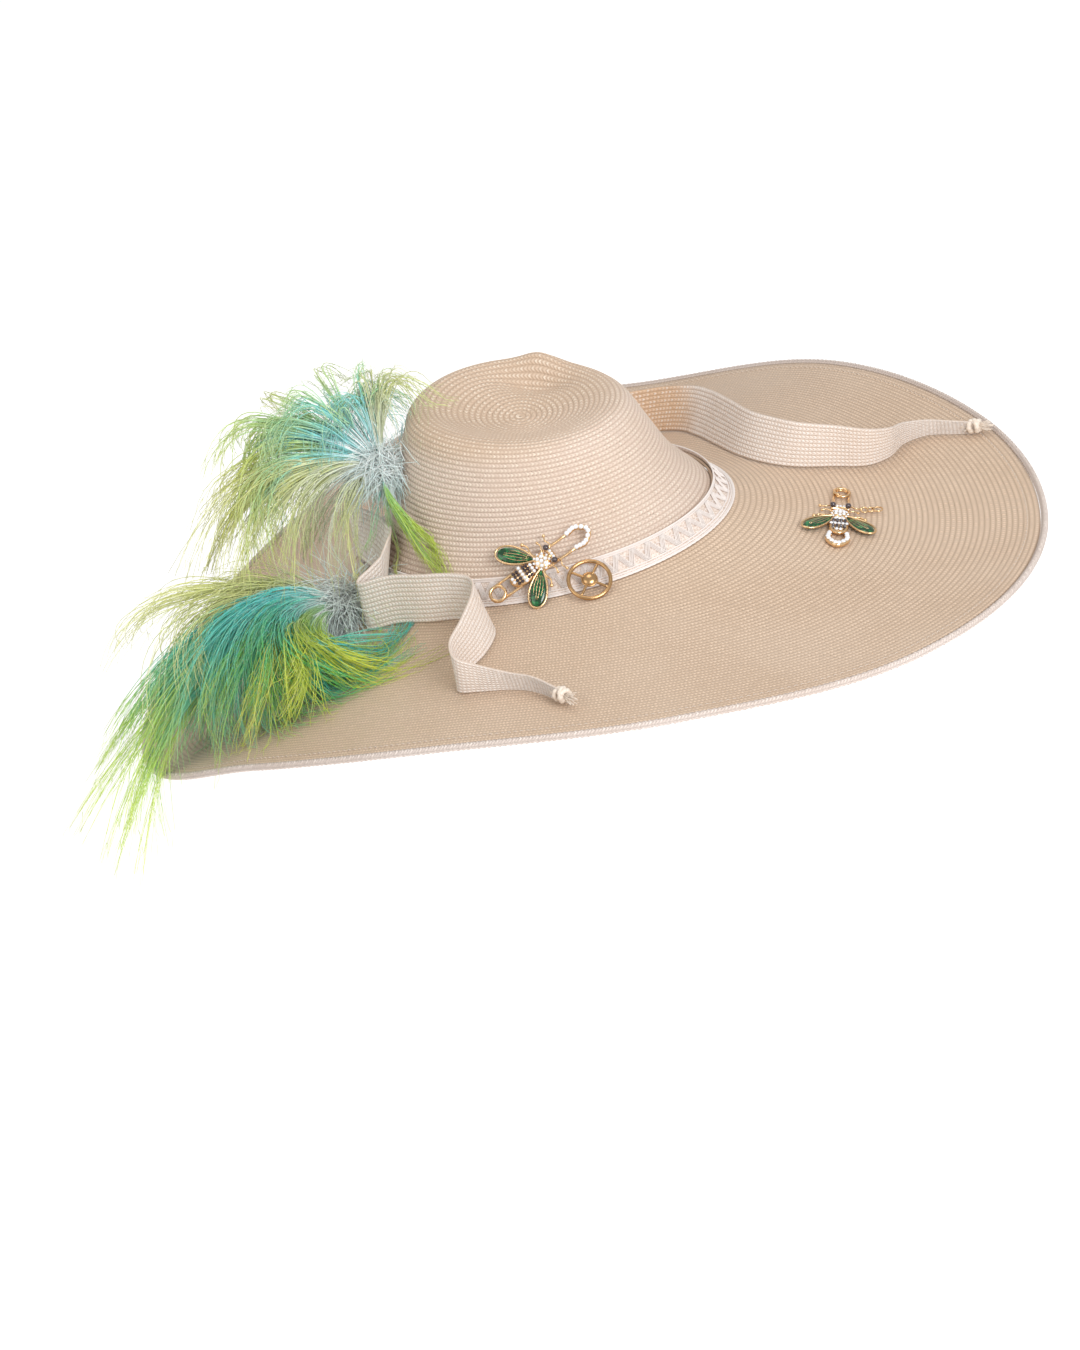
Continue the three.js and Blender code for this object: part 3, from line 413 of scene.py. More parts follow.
# across, along, span across, span along, rise
TIP_FOLDS = [(-0.05, 0.0, 0.17, 0.26, -0.1), (0.18, -0.03, 0.05, 0.13, -0.09),
             (0.28, -0.05, 0.05, 0.075, 0.06)]
ROW_PITCH, PER_ROW, AROUND, CLOTH = 3.0, 4, 240, 1.5
RIDGE_HEIGHT, RIDGE_SINK = 0.3, 0.1
WALL_ROWS = CROWN_ROWS[:9]


def head_radius(angle):
    """The band's ellipse read by angle: across * along / hypot(along * cos, across * sin)."""
    across, along = HEAD_WIDTH / 2, HEAD_LENGTH / 2
    return across * along / np.hypot(along * np.cos(angle), across * np.sin(angle))


def crown_point(rise, spread, fold, angle):
    """Ellipse times spread at height times rise, tilted by a cosine of the angle, leaned back by the
    rise, with each fold added as rise * exp(-(across / span)^2 - (along / span)^2)."""
    radius = head_radius(angle) * spread
    tilt = TIP_TILT * np.cos(angle - np.radians(TIP_HIGH_SIDE)) * np.minimum(1, spread / BROW_SPREAD)
    x, y = radius * np.cos(angle), radius * np.sin(angle) - CROWN_LEAN * rise
    z = (CROWN_HEIGHT + tilt) * rise
    for across, along, span_across, span_along, height in TIP_FOLDS:
        away = ((x / HEAD_WIDTH - across) / span_across) ** 2 + ((y / HEAD_WIDTH - along) / span_along) ** 2
        z = z + fold * height * CROWN_HEIGHT * np.exp(-away)
    return np.stack([x, y, z], axis=-1)


def wall_point(rise, angle):
    """A place on the crown's wall at a share of its height, straight between the rows about it."""
    return crown_point(rise, np.interp(rise, WALL_ROWS[:, 0], WALL_ROWS[:, 1]), 0.0, angle)


def even_steps(profile, count):
    """Shares along a profile of (distance, height) points at which it is cut into even lengths."""
    fine = np.linspace(0, 1, 800)
    line = smooth_read(profile, fine)
    length = np.concatenate([[0], np.cumsum(np.linalg.norm(np.diff(line, axis=0), axis=1))])
    return np.interp(np.linspace(0, length[-1], count), length, fine), length[-1]


def surface_normals(points):
    """Unit normals of a grid that closes round the hat: the step outwards crossed with the step round."""
    outward = np.gradient(points, axis=0)
    around = np.roll(points, -1, axis=1) - np.roll(points, 1, axis=1)
    normals = np.cross(outward, around)
    lengths = np.linalg.norm(normals, axis=-1, keepdims=True)
    return np.where(lengths > 1e-9, normals / np.maximum(lengths, 1e-9), UP)


def straw_shell(upper, lower, per_row, first_row, stitch):
    """Faces and map of a closed shell round the hat from an upper and a lower grid that run outwards.
    A point (row, column) of either is joined to its neighbours, and both rims are closed."""
    rows, columns = upper.shape[:2]
    under_rows = lower.shape[0]
    start = rows * columns
    top = grid_quads(rows, columns, True)
    under = grid_quads(under_rows, columns, True, start)[:, ::-1]
    j = np.arange(columns)
    k = (j + 1) % columns
    outer, under_outer = (rows - 1) * columns, start + (under_rows - 1) * columns
    rim = np.stack([outer + j, under_outer + j, under_outer + k, outer + k], -1)
    inner = np.stack([k, start + k, start + j, j], -1)

    def mapped(grid, row_numbers, flip):
        """Millimetres along each row, with a whole number of straws in it, and the row's number."""
        n = grid.shape[0] - 1
        length = np.linalg.norm(np.roll(grid, -1, 1) - grid, axis=-1).sum(1)
        length = np.round((length[:-1] + length[1:]) / 2 / stitch) * stitch
        i, c = np.meshgrid(np.arange(n), np.arange(columns), indexing="ij")
        low, high = row_numbers[:-1][i], row_numbers[1:][i]
        whole = length[np.minimum((np.floor((low + high) / 2) * per_row).astype(int) % max(n, 1), n - 1)]
        u0, u1 = whole * c / columns, whole * (c + 1) / columns
        pairs = ((u0, low), (u0, high), (u1, high), (u1, low))
        corners = np.stack([np.stack(pair, -1) for pair in pairs], 2)
        return (corners[:, :, ::-1] if flip else corners).reshape(-1, 2)

    top_map = mapped(upper, first_row + np.arange(rows) / per_row, False)
    under_map = mapped(lower, first_row + np.linspace(0, (rows - 1) / per_row, under_rows), True)
    edge_map = np.tile([[0.0, 0.5]], (8 * columns, 1))
    points = np.concatenate([upper.reshape(-1, 3), lower.reshape(-1, 3)])
    return points, [np.concatenate([top, under, rim, inner])], np.concatenate([top_map, under_map, edge_map])


mean_radius = (HEAD_LENGTH + HEAD_WIDTH) / 4
profile = np.column_stack([CROWN_ROWS[::-1, 1] * mean_radius, CROWN_ROWS[::-1, 0] * CROWN_HEIGHT])
crown_length = even_steps(profile, 2)[1]
crown_braids = int(round(crown_length / ROW_PITCH))


def crown_grid(count, inset=0.0, braided=False):
    """Rows of the crown from the tip's middle out to its foot, moved in along the normals by an inset. A
    braid stands out by half a cosine wave of its row."""
    share = even_steps(profile, count)[0]
    rise, spread, fold = np.moveaxis(smooth_read(CROWN_ROWS[::-1], share), -1, 0)[..., None]
    spread[0] = 0.002
    grid = crown_point(rise, spread, np.clip(fold, 0, 1), ring(AROUND)[None])
    if braided:
        ridge = np.abs(np.sin(np.pi * np.arange(count) / PER_ROW)) * RIDGE_HEIGHT - RIDGE_SINK
        inset = -ridge[:, None, None] * np.minimum(1, np.arange(count) / 8)[:, None, None]
    return grid - surface_normals(grid) * inset


upper = crown_grid(crown_braids * PER_ROW + 1, braided=True)
points, faces, thread = straw_shell(upper, crown_grid(20, inset=CLOTH), PER_ROW, 0, 2.5)
piece("crown_braid", points, faces, CROWN_STRAW, "straw", ["crown"], uv=thread)
print("crown has", crown_braids, "rows of braid over", round(crown_length), "mm")

# %% [markdown]
# ## Brim
# The brim is one blocked sheet that swells up from the crown in a short flare, runs out nearly level and
# dips in slow waves to its edge. Its edge is a list of reaches and drops read smoothly round the hat,
# and every row of braid follows the edge. Its upper and lower sides are closed into one shell.

# %% Shape of the brim
BRIM_WIDTH, BRIM_DROP, FLARE_REACH, FLARE_HEIGHT, CLEARANCE = 175.0, 60.0, 12.0, 11.0, 0.45
BRIM_BRAIDS, BRIM_COLUMNS = 58, 480
# at even angles round the hat: reach as a share of the width, drop of the edge as a share of the drop
BRIM_REACH = np.array([0.885, 0.905, 0.79, 0.81, 0.88, 0.84, 0.83, 0.89, 0.98, 1.0, 0.96, 0.92])
BRIM_DROPS = np.array([0.4, 0.27, 0.6, 1.0, 1.0, 0.38, 0.13, 0.25, 0.56, 0.71, 0.48, 0.25])
# the flare's way out and way up, as shares
FLARE_ROWS = np.array([[0, 1], [0.25, 0.62], [0.6, 0.26], [1, 0]])


def read_around(values, angle):
    """Values that go round the hat evenly, read at any angle by a smooth cubic that closes on itself."""
    count = len(values)
    place = (np.asarray(angle) / (2 * np.pi) % 1) * count
    row = np.floor(place).astype(int)
    t = place - row
    a, b, c, d = (values[(row + step) % count] for step in (-1, 0, 1, 2))
    return b + 0.5 * t * (c - a + t * (2 * a - 5 * b + 4 * c - d + t * (3 * (b - c) + d - a)))


def brim_point(angle, out):
    """Radius = band + flare + out * reach; height = -drop * (1 - (1 - out)^1.7), which leaves the flare
    steeply and is level at the edge."""
    angle, out = np.broadcast_arrays(np.asarray(angle, dtype=float), np.asarray(out, dtype=float))
    radius = head_radius(angle) + FLARE_REACH + out * BRIM_WIDTH * read_around(BRIM_REACH, angle)
    z = -BRIM_DROP * read_around(BRIM_DROPS, angle) * (1 - np.maximum(0, 1 - out) ** 1.7)
    return np.stack([radius * np.cos(angle), radius * np.sin(angle), z], axis=-1)


def flare_point(angle, share):
    """The flare by a share of the way out: its rows of (out, up) read smoothly, beyond the crown."""
    out, up = np.moveaxis(smooth_read(FLARE_ROWS, np.asarray(share, dtype=float)), -1, 0)
    start = CLEARANCE + STRAW
    radius = head_radius(angle) + start + out * (FLARE_REACH - start)
    return np.stack([radius * np.cos(angle), radius * np.sin(angle), FLARE_HEIGHT * up + 0 * radius], axis=-1)


def brim_grid(flare_count, count, angles, inset=0.0):
    """The flare's rows and then the brim's, moved in along the normals by an inset."""
    flare = flare_point(angles[None], np.linspace(0, 1, flare_count)[:-1, None])
    brim = brim_point(angles[None], np.linspace(0, 1, count)[:, None])
    grid = np.concatenate([flare, brim])
    return grid - surface_normals(grid) * inset


upper = brim_grid(7, BRIM_BRAIDS - 3, ring(BRIM_COLUMNS))
lower = brim_grid(5, 14, ring(BRIM_COLUMNS), 1.6)
points, faces, thread = straw_shell(upper, lower, 1, 0, 2.2)
piece("brim_braid", points, faces, BRIM_STRAW, "straw", ["brim"], uv=thread)
edge_top, edge_low, edge_in = upper[-1], lower[-1], upper[-2]
print("brim edge is", round(np.linalg.norm(np.roll(edge_top, -1, 0) - edge_top, axis=1).sum()), "mm round")

# %% [markdown]
# ## Hem
# A wired edge is wrapped in one plait of straw, which shows as a pale piping with short slanted straws.
# A tube round the edge, whose radius swells twice a plait, reads as that wrap. Inside it runs a line of
# small hand stitches, each a little bar of thread sunk at both ends.

# %% Piping and stitches
HEM_RADIUS, HEM_SIDES, HEM_STATIONS, HEM_TURNS, HEM_SWELL = 2.0, 12, 1600, 520, 0.16
outward = edge_top - edge_in
outward /= np.linalg.norm(outward, axis=1, keepdims=True)
hem_line = (edge_top + edge_low) / 2 + outward * (HEM_RADIUS + CLEARANCE)
hem_share = np.linspace(0, 1, HEM_STATIONS, endpoint=False)
closed_line = np.concatenate([hem_line, hem_line[:1]])
hem_path = np.stack([np.interp(hem_share * BRIM_COLUMNS, np.arange(BRIM_COLUMNS + 1), values)
                     for values in closed_line.T], -1)
hem_points, (hem_quads, _) = tubes(hem_path[None], HEM_RADIUS, HEM_SIDES, closed=True)
wrap = HEM_SWELL * np.cos(HEM_TURNS * 2 * np.pi * hem_share[:, None] + 2 * ring(HEM_SIDES)[None])
centres = np.repeat(hem_path, HEM_SIDES, axis=0)
hem_points = centres + (hem_points - centres) * (1 + wrap.reshape(-1, 1))
length = np.linalg.norm(np.roll(hem_path, -1, 0) - hem_path, axis=1).sum()
station, side = hem_quads // HEM_SIDES, hem_quads % HEM_SIDES
spot = np.stack([station * length / HEM_STATIONS, side / 4.0], -1)
wraps_on = (station.max(1) == HEM_STATIONS - 1) & (station.min(1) == 0)
spot[..., 0] = np.where(wraps_on[:, None] & (station == 0), length, spot[..., 0])
last_side = side.max(1) == HEM_SIDES - 1
spot[..., 1] = np.where(last_side[:, None] & (side == 0), HEM_SIDES / 4.0, spot[..., 1])
piece("hem_piping", hem_points, [hem_quads], HEM_STRAW, "straw", ["hem"], uv=spot.reshape(-1, 2))

STITCHES, STITCH_OUT, STITCH_HALF, STITCH_LIFT, STITCH_SINK = 430, 0.957, 0.0045, 0.42, 0.75
THREAD = finish("sewing_thread", (0.64, 0.54, 0.45), 0.45, Sheen_Weight=0.3)[0]
bow = np.linspace(-1, 1, 4)
stitch = brim_point(ring(STITCHES)[:, None] + STITCH_HALF * bow[None], STITCH_OUT + 0 * bow[None])
stitch = stitch + UP * (STITCH_LIFT - STITCH_SINK * bow[None, :, None] ** 4)
piece("edge_stitches", *tubes(stitch, 0.33, 5), THREAD, "straw")

# %% [markdown]
# ## Lace band
# The join of crown and brim is hidden by a narrow lace: two corded edges, and between them threads that
# cross in a zigzag over a fine net. It is made as the real one is, thread by thread, as round tubes on a
# thin backing strip. Each thread is a path of (angle, share across the band), laid on the flare's shape.

# %% Lace threads
LACE_WIDE = (-0.16, 1.04)
REPEATS = 62


def lace_point(angle, across, lift):
    """A place on the band, from 0 at its upper edge to 1 at its lower one, raised over the flare."""
    share = LACE_WIDE[0] + across * (LACE_WIDE[1] - LACE_WIDE[0])
    flare = flare_point(angle, np.clip(share, 0, 1))
    radius = np.hypot(flare[..., 0], flare[..., 1])
    over = np.minimum(share, 0)[..., None] * np.array([0, 0, -11.0])
    past = np.maximum(share - 1, 0)[..., None] * 9.0
    tilt = np.radians(50 - 22 * np.clip(share, 0, 1))[..., None]
    way = np.concatenate([flare[..., :2] / radius[..., None], np.zeros_like(tilt)], -1)
    return flare + over + past * way + lift * (way * np.sin(tilt) + UP * np.cos(tilt))


LACE = mottled("lace_cotton", (0.91, 0.86, 0.83), (0.85, 0.77, 0.73), 90.0, 0.55, grain=(1400.0, 0.12, 0.6),
               Sheen_Weight=0.35)
LACE_NET = mottled("lace_net", (0.62, 0.50, 0.42), (0.84, 0.75, 0.69), 900.0, 0.7, edges=(0.35, 0.65),
                   Sheen_Weight=0.2)
band_angles, band_across = np.meshgrid(ring(240), np.linspace(0, 1, 7))
strip_top, strip_low = (lace_point(band_angles, band_across, lift) for lift in (0.8, 0.5))
piece("lace_net", *straw_shell(strip_top, strip_low, 1, 0, 1.0)[:2], LACE_NET, "lace")
lace_tubes = []
fine = ring(600)
# share across the band, radius and lift of each cord
for across, radius, lift in ((0.02, 0.5, 1.1), (0.08, 0.3, 1.1), (0.14, 0.42, 1.15), (0.76, 0.42, 1.15),
                             (0.86, 0.42, 1.15), (0.93, 0.3, 1.1), (0.985, 0.5, 1.05)):
    path = lace_point(fine, across + 0 * fine, lift)
    lace_tubes.append(tubes(path[None], radius, 5, closed=True))
step = 2 * np.pi / REPEATS
run = np.linspace(0, 1, 6)
for first in (0.0, 0.09, 0.18, 0.27):
    start = np.arange(REPEATS)[:, None] * step + first * step
    up_way = start + run[None] * step * 0.5
    down_way = start + step * (0.5 + 0.5 * run[None])
    shape_up = 0.17 + 0.56 * run[None] + 0 * up_way
    arch = 1.35 + 0.35 * np.sin(np.pi * run)[None, :, None]
    lace_tubes.append(tubes(lace_point(up_way, shape_up, arch), 0.3, 4))
    lace_tubes.append(tubes(lace_point(down_way, shape_up[:, ::-1], arch + 0.2), 0.3, 4))
loop_turn = ring(8)
loops = lace_point((np.arange(REPEATS)[:, None] + 0.62) * step + 0.2 * step * np.cos(loop_turn)[None],
                   0.45 + 0.1 * np.sin(loop_turn)[None] + 0 * np.arange(REPEATS)[:, None], 1.75)
lace_tubes.append(tubes(loops, 0.26, 4, closed=True))
picot = lace_point((np.arange(3 * REPEATS)[:, None] + 0.5 * np.cos(loop_turn)[None]) * step / 3,
                   1.0 + 0.045 * np.sin(loop_turn)[None] + 0 * np.arange(3 * REPEATS)[:, None], 0.95)
lace_tubes.append(tubes(picot, 0.24, 3, closed=True))
piece("lace_threads", *gather(lace_tubes), LACE, "lace", ["lace_band"])

# %% [markdown]
# ## Ribbons
# Each ribbon is a flat plait of straw, about thirty millimetres wide, that stands on edge on the brim in
# slow waves, narrows and ends in a knot. Its lower edge is a path over the brim, and the ribbon is that
# path plus a share of a lean that turns as it goes, so it can twist and lie over like the real one.

# %% Ribbon surfaces
RIBBON_WIDTH, RIBBON_STAND, RIBBON_THICK, RIBBON_BRAIDS = 30.0, 1.0, 1.2, 11
KNOT_RADIUS, LOOSE_ENDS = 4.2, 46
LACE_RISE, LACE_FOOT = 4.3, 6.0
# degrees, out over the brim, width, lean out, lean round
SIDE_RIBBON = np.array([
    [93.5, 0.04, 1, -0.07, -0.3], [103, -0.01, 1, -0.35, -0.2], [112, -0.03, 1, -0.5, -0.1],
    [121, -0.03, 1, -0.48, -0.1], [126.5, -0.03, 1, -0.42, -0.1], [130.5, 0, 1, -0.3, 0],
    [133, 0.07, 1, -0.15, 0], [133.5, 0.13, 1, -0.1, -0.04], [137, 0.15, 1, -0.07, -0.07],
    [146, 0.11, 1, -0.1, -0.07], [156.5, 0.1, 1, -0.09, -0.04], [167.5, 0.09, 1, 0, 0],
    [176.5, 0.13, 1, 0, -0.1], [180.5, 0.22, 1, 0.1, -0.2], [180, 0.36, 0.97, 0.3, -0.2],
    [177.5, 0.5, 0.9, 0.3, 0], [178, 0.62, 0.8, 0.14, 0.2], [182.5, 0.64, 0.6, 0.1, 0.1],
    [188, 0.65, 0.42, 0.2, 0], [192, 0.69, 0.38, 0.2, 0], [196, 0.79, 0.32, 0.2, 0],
])
FRONT_RIBBON = np.array([
    [5, 0.12, 1, 0.1, -0.1], [-4.5, 0.21, 1, 0.12, -0.2], [-13.5, 0.27, 1, 0.17, -0.27],
    [-22.5, 0.26, 1, 0.34, -0.29], [-31, 0.21, 1, 0.46, -0.19], [-41, 0.16, 1, 0.46, -0.15],
    [-52, 0.14, 1, 0.42, -0.2], [-60, 0.18, 1, 0.4, -0.11], [-64, 0.26, 1, 0.27, -0.13],
    [-65.5, 0.39, 0.97, 0.19, -0.19], [-66.5, 0.5, 0.9, 0.12, -0.22], [-64.5, 0.6, 0.75, 0.1, -0.27],
    [-61, 0.69, 0.55, 0.08, -0.27], [-60, 0.79, 0.4, 0.07, -0.27], [-61.5, 0.87, 0.34, 0, -0.22],
    [-63, 0.94, 0.3, 0, -0.22],
])


def brim_height(x, y):
    """The height of the hat's upper side over lace and brim: the flare's rows near the crown, and beyond
    it the brim's own formula, by how far the place is past the band. The lace adds its own rise."""
    angle = np.arctan2(y, x)
    past = np.hypot(x, y) - head_radius(angle) - FLARE_REACH
    outer = brim_point(angle, np.maximum(past, 0) / (BRIM_WIDTH * read_around(BRIM_REACH, angle)))[..., 2]
    share = np.maximum(0, 1 + past / (FLARE_REACH - CLEARANCE - STRAW))
    inner = FLARE_HEIGHT * np.interp(share, FLARE_ROWS[:, 0], FLARE_ROWS[:, 1])
    return np.where(past >= 0, outer, inner) + LACE_RISE * np.clip(1 - past / LACE_FOOT, 0, 1)


def ribbon_lines(rows, share):
    """Lower edge, lean and way ahead at shares along a ribbon. The lean is an upright of the ribbon's
    width tipped out and round by the row's own shares, and turned to the row's place round the hat."""
    turn = np.radians(rows[:, 0])
    feet = brim_point(turn, rows[:, 1])
    upright = np.sqrt(1 - rows[:, 3] ** 2 - rows[:, 4] ** 2)
    out, round_it = rows[:, 3], rows[:, 4]
    lean_x = out * np.cos(turn) - round_it * np.sin(turn)
    lean_y = out * np.sin(turn) + round_it * np.cos(turn)
    leans = np.stack([lean_x, lean_y, upright], -1) * rows[:, 2:3] * RIBBON_WIDTH
    low = smooth_read(feet, share)
    low[:, 2] = brim_height(low[:, 0], low[:, 1]) + RIBBON_STAND
    ahead = np.gradient(low, axis=0)
    return low, smooth_read(leans, share), ahead / np.linalg.norm(ahead, axis=1, keepdims=True)


def ribbon_strip(rows, count, braids):
    """The strip: lower edge + across * lean, with each row of braid standing out by a half wave on both
    faces. Its map holds millimetres along and the number of the row across."""
    low, lean, ahead = ribbon_lines(rows, np.linspace(0, 1, count))
    across = np.linspace(0, 1, 2 * braids + 1)
    side = np.cross(ahead, lean)
    side /= np.linalg.norm(side, axis=1, keepdims=True)
    ridge = RIBBON_THICK / 2 * (0.55 + 0.45 * np.abs(np.sin(np.pi * across * braids)) ** 0.7)
    ridge[[0, -1]] = 0.35
    middle = low[:, None] + across[None, :, None] * lean[:, None]
    faces_out = [middle + sign * ridge[None, :, None] * side[:, None] for sign in (1, -1)]
    columns = len(across)
    front = grid_quads(count, columns, False)[:, ::-1]
    back = grid_quads(count, columns, False, count * columns)
    i = np.arange(count - 1) * columns
    base = count * columns
    low_edge = np.stack([i, i + columns, base + i + columns, base + i], -1)
    high = i + columns - 1
    high_edge = np.stack([high, base + high, base + high + columns, high + columns], -1)
    j = np.arange(columns - 1)
    start_edge = np.stack([j + 1, j, base + j, base + j + 1], -1)
    last = (count - 1) * columns
    end_edge = np.stack([last + j, last + j + 1, base + last + j + 1, base + last + j], -1)
    faces = np.concatenate([front, back, low_edge, high_edge, start_edge, end_edge])[:, ::-1]
    length = np.concatenate([[0], np.cumsum(np.linalg.norm(np.diff(middle[:, columns // 2], axis=0), axis=1))])
    at_point = np.stack(np.broadcast_arrays(length[:, None], across[None] * braids), -1).reshape(-1, 2)
    uv = np.concatenate([at_point, at_point])[faces].reshape(-1, 2)
    points = np.concatenate([f.reshape(-1, 3) for f in faces_out])
    width = np.linalg.norm(lean, axis=1)
    return points, faces, uv, length[-1], float(((width[1:] + width[:-1]) / 2 * np.diff(length)).sum())


def knot(rows):
    """A tied end: three coils of the plait wound round the narrowed strip, and loose ends. Each coil is
    a circle across the way ahead, of its own size, moved along the way and turned a little from the others."""
    low, lean, ahead = ribbon_lines(rows, np.linspace(0.97, 1, 8))
    centre = low[-1] + UP * (KNOT_RADIUS * 1.25)
    way = ahead[-1] * [1, 1, 0]
    way /= np.linalg.norm(way)
    left = np.cross(UP, way)
    turn = ring(32)
    parts = []
    for tip, shift, size in ((0.5, -1.6, 3.1), (-0.45, 0.6, 3.4), (0.15, 2.6, 2.7)):
        spin = way * tip + left
        spin /= np.linalg.norm(spin)
        loop = centre + way * shift + size * (np.cos(turn)[:, None] * spin + np.sin(turn)[:, None] * UP)
        parts.append(tubes(loop[None], 1.5 + 0.2 * np.cos(8 * turn)[None], 10, closed=True))
    rng = np.random.default_rng(5)
    spread = rng.normal(size=(LOOSE_ENDS, 3)) * 1.5
    reach = np.linspace(-6, 9, 9)[None, :, None] * (0.8 + 0.35 * rng.random((LOOSE_ENDS, 1, 1)))
    bunch = np.clip(np.abs(np.linspace(-1, 1.4, 9)) ** 1.2, 0.25, 1.3)[None, :, None]
    ends = centre + way * reach + spread[:, None] * bunch
    ends[..., 2] = np.maximum(ends[..., 2], brim_height(ends[..., 0], ends[..., 1]) + 0.9)
    parts.append(tubes(ends, 0.42 * np.linspace(1, 0.5, 9)[None], 5))
    return gather(parts)


KNOT_STRAW = mottled("knot_straw", (0.86, 0.78, 0.70), (0.74, 0.62, 0.50), 500.0, 0.4, grain=(900.0, 0.3, 0.7),
                     Sheen_Weight=0.2)
for label, rows, count in (("side", SIDE_RIBBON, 440), ("front", FRONT_RIBBON, 360)):
    points, faces, thread, length, area = ribbon_strip(rows, count, RIBBON_BRAIDS)
    strip = piece(f"{label}_ribbon_braid", points, [faces], RIBBON_STRAW, "ribbon_straw",
                  [f"{label}_ribbon"], uv=thread)
    tied = piece(f"{label}_ribbon_knot", *knot(rows), KNOT_STRAW, "ribbon_straw")
    print(label, "ribbon is", round(length), "mm long, area", round(area), "square mm")

# %% [markdown]
# ## Plumes
# Each plume is a handful of dyed ostrich feathers. A feather is a soft quill with hundreds of loose
# barbs that leave it near its root, part on the way and hang at their tips, and each barb carries finer
# barbules. Blender's hair could grow them, but thin tubes worked out in numpy can be exported and stay
# the same each run. Their colour goes by the distance from the root: down, teal, green and lime.

# %% Barbs of the plumes
LOCK_RADIUS, LOW_LOFT, HIGH_LENGTH = 8.0, 100.0, 220.0
STEM_TURN, STEM_RISE, STEM_LENGTH, STEM_RADIUS = np.radians(109), 0.45, 24.0, 2.5
WISP_SIZE, HOOK_START, BARB_STATIONS = 9, 0.42, 14
DOWN_COUNT, DOWN_STATIONS, BARBULE_COUNT = 1100, 5, 6000
# degrees, out over the brim, lift, arch, sway, girth, barbs, dye, curl of the tips in radians
LOW_LOCKS = np.array([
    [127, 1.36, -0.22, 0.62, 0.05, 0.8, 170, 0, 0.3], [124, 1.31, 0.04, 0.62, 0, 1.0, 180, 0, 0.8],
    [119, 1.07, 0.76, 0.4, 0, 1.3, 150, 3, 1.2], [121, 0.66, 0.7, 0.22, 0, 1.5, 220, 3, 1.0],
    [126, 1.02, 0.22, 0.62, 0, 1.2, 300, 0, 1.2], [132, 0.9, 0.22, 0.62, 0, 1.3, 360, 0, 1.0],
    [144, 0.88, 0.18, 0.48, -0.2, 1.2, 260, 1, 1.3], [154, 0.85, 0.17, 0.38, -0.44, 1.0, 170, 1, 1.8],
    [167, 0.8, 0.12, 0.2, -0.5, 0.9, 210, 6, 4.4], [168, 0.35, 0.12, 0.08, -0.92, 0.7, 100, 2, 2.6],
    [158, 0.8, 0.18, 0.26, -0.4, 1.1, 230, 6, 4.6],
])
# degrees, reach past the band, rise, arch, sway, girth, barbs, dye, curl of the tips in radians
HIGH_LOCKS = np.array([
    [84, -0.155, 0.3, 0.12, 0, 1.0, 80, 3, 1.8], [91, -0.05, 0.3, 0.06, 0, 1.1, 100, 4, 1.8],
    [96, 0.14, 0.3, 0.1, 0, 1.1, 105, 4, 1.9], [101.5, 0.32, 0.22, 0.14, 0, 1.1, 115, 4, 1.7],
    [104, 0.42, 0.17, 0.14, 0, 1.1, 125, 4, 1.5], [109, 0.44, 0, 0.18, 0, 1.1, 145, 4, 1.3],
    [112, 0.5, -0.09, 0.2, 0, 1.2, 140, 3, 1.2], [113, 0.32, -0.08, 0.14, 0, 1.2, 130, 3, 1.0],
    [117, 0.22, -0.24, 0.14, 0, 1.3, 70, 3, 0.8],
    [158, 0.0, -0.19, 0.03, -0.1, 0.36, 60, 5, 0.9], [128, 0.03, -0.2, -0.02, 0, 0.5, 12, 4, 0.8],
])
# Colours in hundredths at distances in millimetres from the root, for each dye: low teal to lime, low
# green to lime, teal, pale olive, high aqua to lime, lime tail, and bright lime.
DYE_STEPS = np.array([0, 30, 60, 100, 150, 230.0])
DYES = np.array([
    [[93, 93, 92], [52, 80, 78], [8, 62, 60], [10, 62, 44], [46, 70, 8], [67, 75, 16]],
    [[93, 93, 92], [42, 76, 72], [5, 56, 46], [9, 50, 6], [54, 68, 4], [76, 78, 9]],
    [[72, 80, 78], [24, 70, 68], [4, 54, 50], [5, 54, 38], [32, 62, 12], [50, 66, 10]],
    [[80, 84, 76], [68, 74, 50], [66, 71, 28], [72, 74, 28], [77, 78, 36], [80, 80, 50]],
    [[92, 94, 94], [24, 74, 76], [46, 72, 36], [66, 73, 16], [72, 75, 17], [78, 79, 30]],
    [[40, 70, 62], [30, 62, 16], [52, 67, 8], [60, 70, 8], [62, 72, 10], [64, 74, 16]],
    [[93, 93, 92], [34, 68, 40], [34, 60, 5], [56, 66, 3], [70, 73, 5], [72, 77, 12]],
]) / 100


def dyed(away, dye):
    """A dye's colour at distances in millimetres from the root, straight between its steps."""
    return np.stack([np.interp(away, DYE_STEPS, DYES[int(dye)][:, c]) for c in range(3)], -1)


